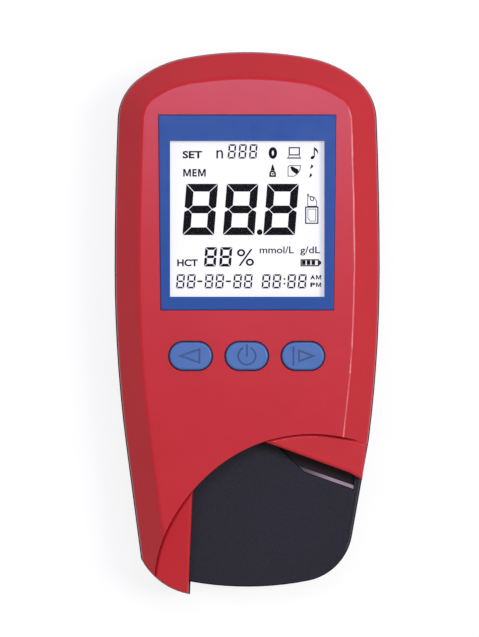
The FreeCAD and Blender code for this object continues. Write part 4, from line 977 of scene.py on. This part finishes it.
@dataclass
class BatteryBay(SubAssembly):
    """Two cells, their contacts and the door over them."""

    nub: float = 0.9
    rim: float = 0.5

    def build(self) -> None:
        """Dress the bay; each jacket ends just short of its cell's ends."""
        for name in ("battery_left", "battery_right"):
            low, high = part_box(name)
            jacket = replace(
                CELL_JACKET,
                name=f"cell_jacket_{name}",
                jacket_low=low.y / MM + self.nub + self.rim,
                jacket_high=high.y / MM - self.nub - self.rim,
            )
            self.dress({name: jacket})
        self.dress({
            "battery_springs": CONTACT_METAL,
            "battery_contacts": CONTACT_METAL,
            "battery_door": DARK_SHELL,
            "door_latch": DARK_SHELL,
        })


@dataclass
class StripPort(SubAssembly):
    """Strip guide and the optics below the strip."""

    def build(self) -> None:
        """Dress the port."""
        self.dress({
            "strip_guide": GUIDE_PLASTIC,
            "optics_housing": CHIP_BLACK,
            "optics_window": CLEAR_WINDOW,
            "optics_board": BOARD_GREEN,
            "light_emitters": LIGHT_GUIDE,
            "photodiode": CHIP_BLACK,
        })


@dataclass
class Electronics(SubAssembly):
    """Main board, what is soldered to it and the flexible cable."""

    def build(self) -> None:
        """Dress the electronics."""
        self.dress({
            "main_board": BOARD_GREEN,
            "microcontroller": CHIP_BLACK,
            "memory_chip": CHIP_BLACK,
            "clock_crystal": SCREW_STEEL,
            "power_inductor": CHIP_BLACK,
            "radio_module": SCREW_STEEL,
            "buzzer": CHIP_BLACK,
            "flex_connectors": WHITE_PLASTIC,
            "flex_cable": FLEX_FILM,
        })


# ---------------------------------------------------------------- studio


@dataclass
class Studio:
    """Pale floor, plain world, two soft lamps and the camera straight above the meter."""

    view_centre: Point = (-1.85, 1.08)
    view_plane: float = 22.0
    view_height: float = 152.9
    lens: float = 400.0
    sensor: float = 36.0
    nearest: float = 50.0
    farthest: float = 50000.0
    ambient: float = 0.39
    key_power: float = 1.85
    key_elevation: float = 60.0
    key_azimuth: float = 8.0
    key_angle: float = 18.0
    sheen_power: float = 1.8
    sheen_width: float = 460.0
    sheen_length: float = 110.0
    sheen_place: Triple = (30.0, 120.0, 560.0)
    sheen_colour: Colour = (0.7, 0.66, 1.0)
    floor_tint: Colour = (0.93, 0.93, 0.93)
    floor_patches: Colour = (0.9, 0.9, 0.9)
    floor_patch_size: float = 300.0
    floor_glow: float = 0.85
    floor_size: float = 6000.0
    floor_drop: float = 0.05

    def build(self) -> None:
        """Set up the studio."""
        self.make_camera()
        self.make_world()
        self.make_key_lamp()
        self.make_sheen_lamp()
        self.make_floor()
        bpy.context.scene.view_settings.view_transform = "Standard"

    def make_camera(self) -> None:
        """Look straight down with a long lens."""
        data = bpy.data.cameras.new("camera")
        data.lens = self.lens
        data.sensor_width = self.sensor
        data.clip_start = self.nearest * MM
        data.clip_end = self.farthest * MM
        camera = bpy.data.objects.new("camera", data)
        distance = self.lens / self.sensor * self.view_height
        camera.location = Vector((*self.view_centre, self.view_plane + distance)) * MM
        bpy.context.scene.collection.objects.link(camera)
        bpy.context.scene.camera = camera
        LOG.info("camera %.0f mm above the panel", distance)

    def background_share(self, tree: bpy.types.NodeTree) -> Socket:
        """Give 1 for rays that show the background and 0 for rays that light the meter.

        Args:
            tree: the node tree to work in.

        Returns:
            The factor socket.
        """
        path = tree.nodes.new("ShaderNodeLightPath")
        total = path.outputs["Is Camera Ray"]
        for name in ("Is Glossy Ray", "Is Transmission Ray"):
            node = tree.nodes.new("ShaderNodeMath")
            node.operation = "MAXIMUM"
            tree.links.new(total, node.inputs[0])
            tree.links.new(path.outputs[name], node.inputs[1])
            total = node.outputs[0]
        return total

    def make_world(self) -> None:
        """Light evenly from all round, with a white background behind the meter."""
        world = bpy.data.worlds.new("studio")
        world.use_nodes = True
        tree = world.node_tree
        tree.nodes.clear()
        soft = tree.nodes.new("ShaderNodeBackground")
        soft.inputs["Strength"].default_value = self.ambient
        white = tree.nodes.new("ShaderNodeBackground")
        white.inputs["Strength"].default_value = 1.0
        for node in (soft, white):
            node.inputs["Color"].default_value = WHITE
        mix = tree.nodes.new("ShaderNodeMixShader")
        output = tree.nodes.new("ShaderNodeOutputWorld")
        tree.links.new(self.background_share(tree), mix.inputs[0])
        tree.links.new(soft.outputs[0], mix.inputs[1])
        tree.links.new(white.outputs[0], mix.inputs[2])
        tree.links.new(mix.outputs[0], output.inputs[0])
        bpy.context.scene.world = world

    def hang(self, data: bpy.types.Light, place: Vector) -> bpy.types.Object:
        """Hang a lamp.

        Args:
            data: its light.
            place: where it hangs, in metres.

        Returns:
            The lamp.
        """
        lamp = bpy.data.objects.new(data.name, data)
        lamp.location = place
        bpy.context.scene.collection.objects.link(lamp)
        LOG.info("%s: energy %.2f", data.name, data.energy)
        return lamp

    def make_key_lamp(self) -> None:
        """Hang the broad soft lamp high at the right."""
        data = bpy.data.lights.new("key_lamp", "SUN")
        data.energy = self.key_power
        data.angle = math.radians(self.key_angle)
        elevation, azimuth = math.radians(self.key_elevation), math.radians(self.key_azimuth)
        level = math.cos(elevation)
        towards = Vector((level * math.cos(azimuth), level * math.sin(azimuth), math.sin(elevation)))
        self.hang(data, towards).rotation_euler = towards.to_track_quat("Z", "Y").to_euler()

    def make_sheen_lamp(self) -> None:
        """Hang the wide soft lamp over the top end, for the sheen on the panel."""
        data = bpy.data.lights.new("sheen_lamp", "AREA")
        data.shape = "ELLIPSE"
        data.size = self.sheen_width * MM
        data.size_y = self.sheen_length * MM
        data.energy = self.sheen_power
        data.color = self.sheen_colour
        self.hang(data, Vector(self.sheen_place) * MM).visible_camera = False

    def make_floor(self) -> None:
        """Lay a pale floor that keeps a faint shadow, a hair below the feet."""
        recipe = Recipe("studio_floor")
        recipe.set(Roughness=0.9, Specular_IOR_Level=0.0)
        patches = recipe.noise(self.floor_patch_size)
        recipe.colour(recipe.blend(patches, self.floor_tint, self.floor_patches))
        glow = recipe.add("ShaderNodeEmission")
        share = recipe.add("ShaderNodeMath", operation="MULTIPLY")
        share.inputs[1].default_value = self.floor_glow
        recipe.join(self.background_share(recipe.tree), share.inputs[0])
        mix = recipe.add("ShaderNodeMixShader")
        recipe.join(share.outputs[0], mix.inputs[0])
        recipe.join(recipe.shader.outputs[0], mix.inputs[1])
        recipe.join(glow.outputs[0], mix.inputs[2])
        recipe.join(mix.outputs[0], recipe.output.inputs[0])
        mesh = bmesh.new()
        bmesh.ops.create_grid(mesh, x_segments=1, y_segments=1, size=self.floor_size * MM / 2)
        data = bpy.data.meshes.new("floor")
        mesh.to_mesh(data)
        mesh.free()
        data.materials.append(recipe.material)
        floor = bpy.data.objects.new("floor", data)
        floor.location.z = -self.floor_drop * MM
        bpy.context.scene.collection.objects.link(floor)
        LOG.info("floor: %.2f mm below the feet", self.floor_drop)


def corners(bounds: tuple[Vector, Vector]) -> list[list[float]]:
    """Give a box's two corners as plain lists."""
    return [[float(value) for value in corner] for corner in bounds]


def main() -> None:
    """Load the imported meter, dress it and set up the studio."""
    logging.basicConfig(level=logging.INFO, format="%(message)s")
    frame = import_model()
    Studio().build()
    palette = Palette()
    for assembly in (CaseShells, DisplayStack, KeyRow, BatteryBay, StripPort, Electronics):
        LOG.info("%s", assembly.__name__)
        assembly(frame["nodes"], palette).build()


if __name__ == "__main__":
    main()
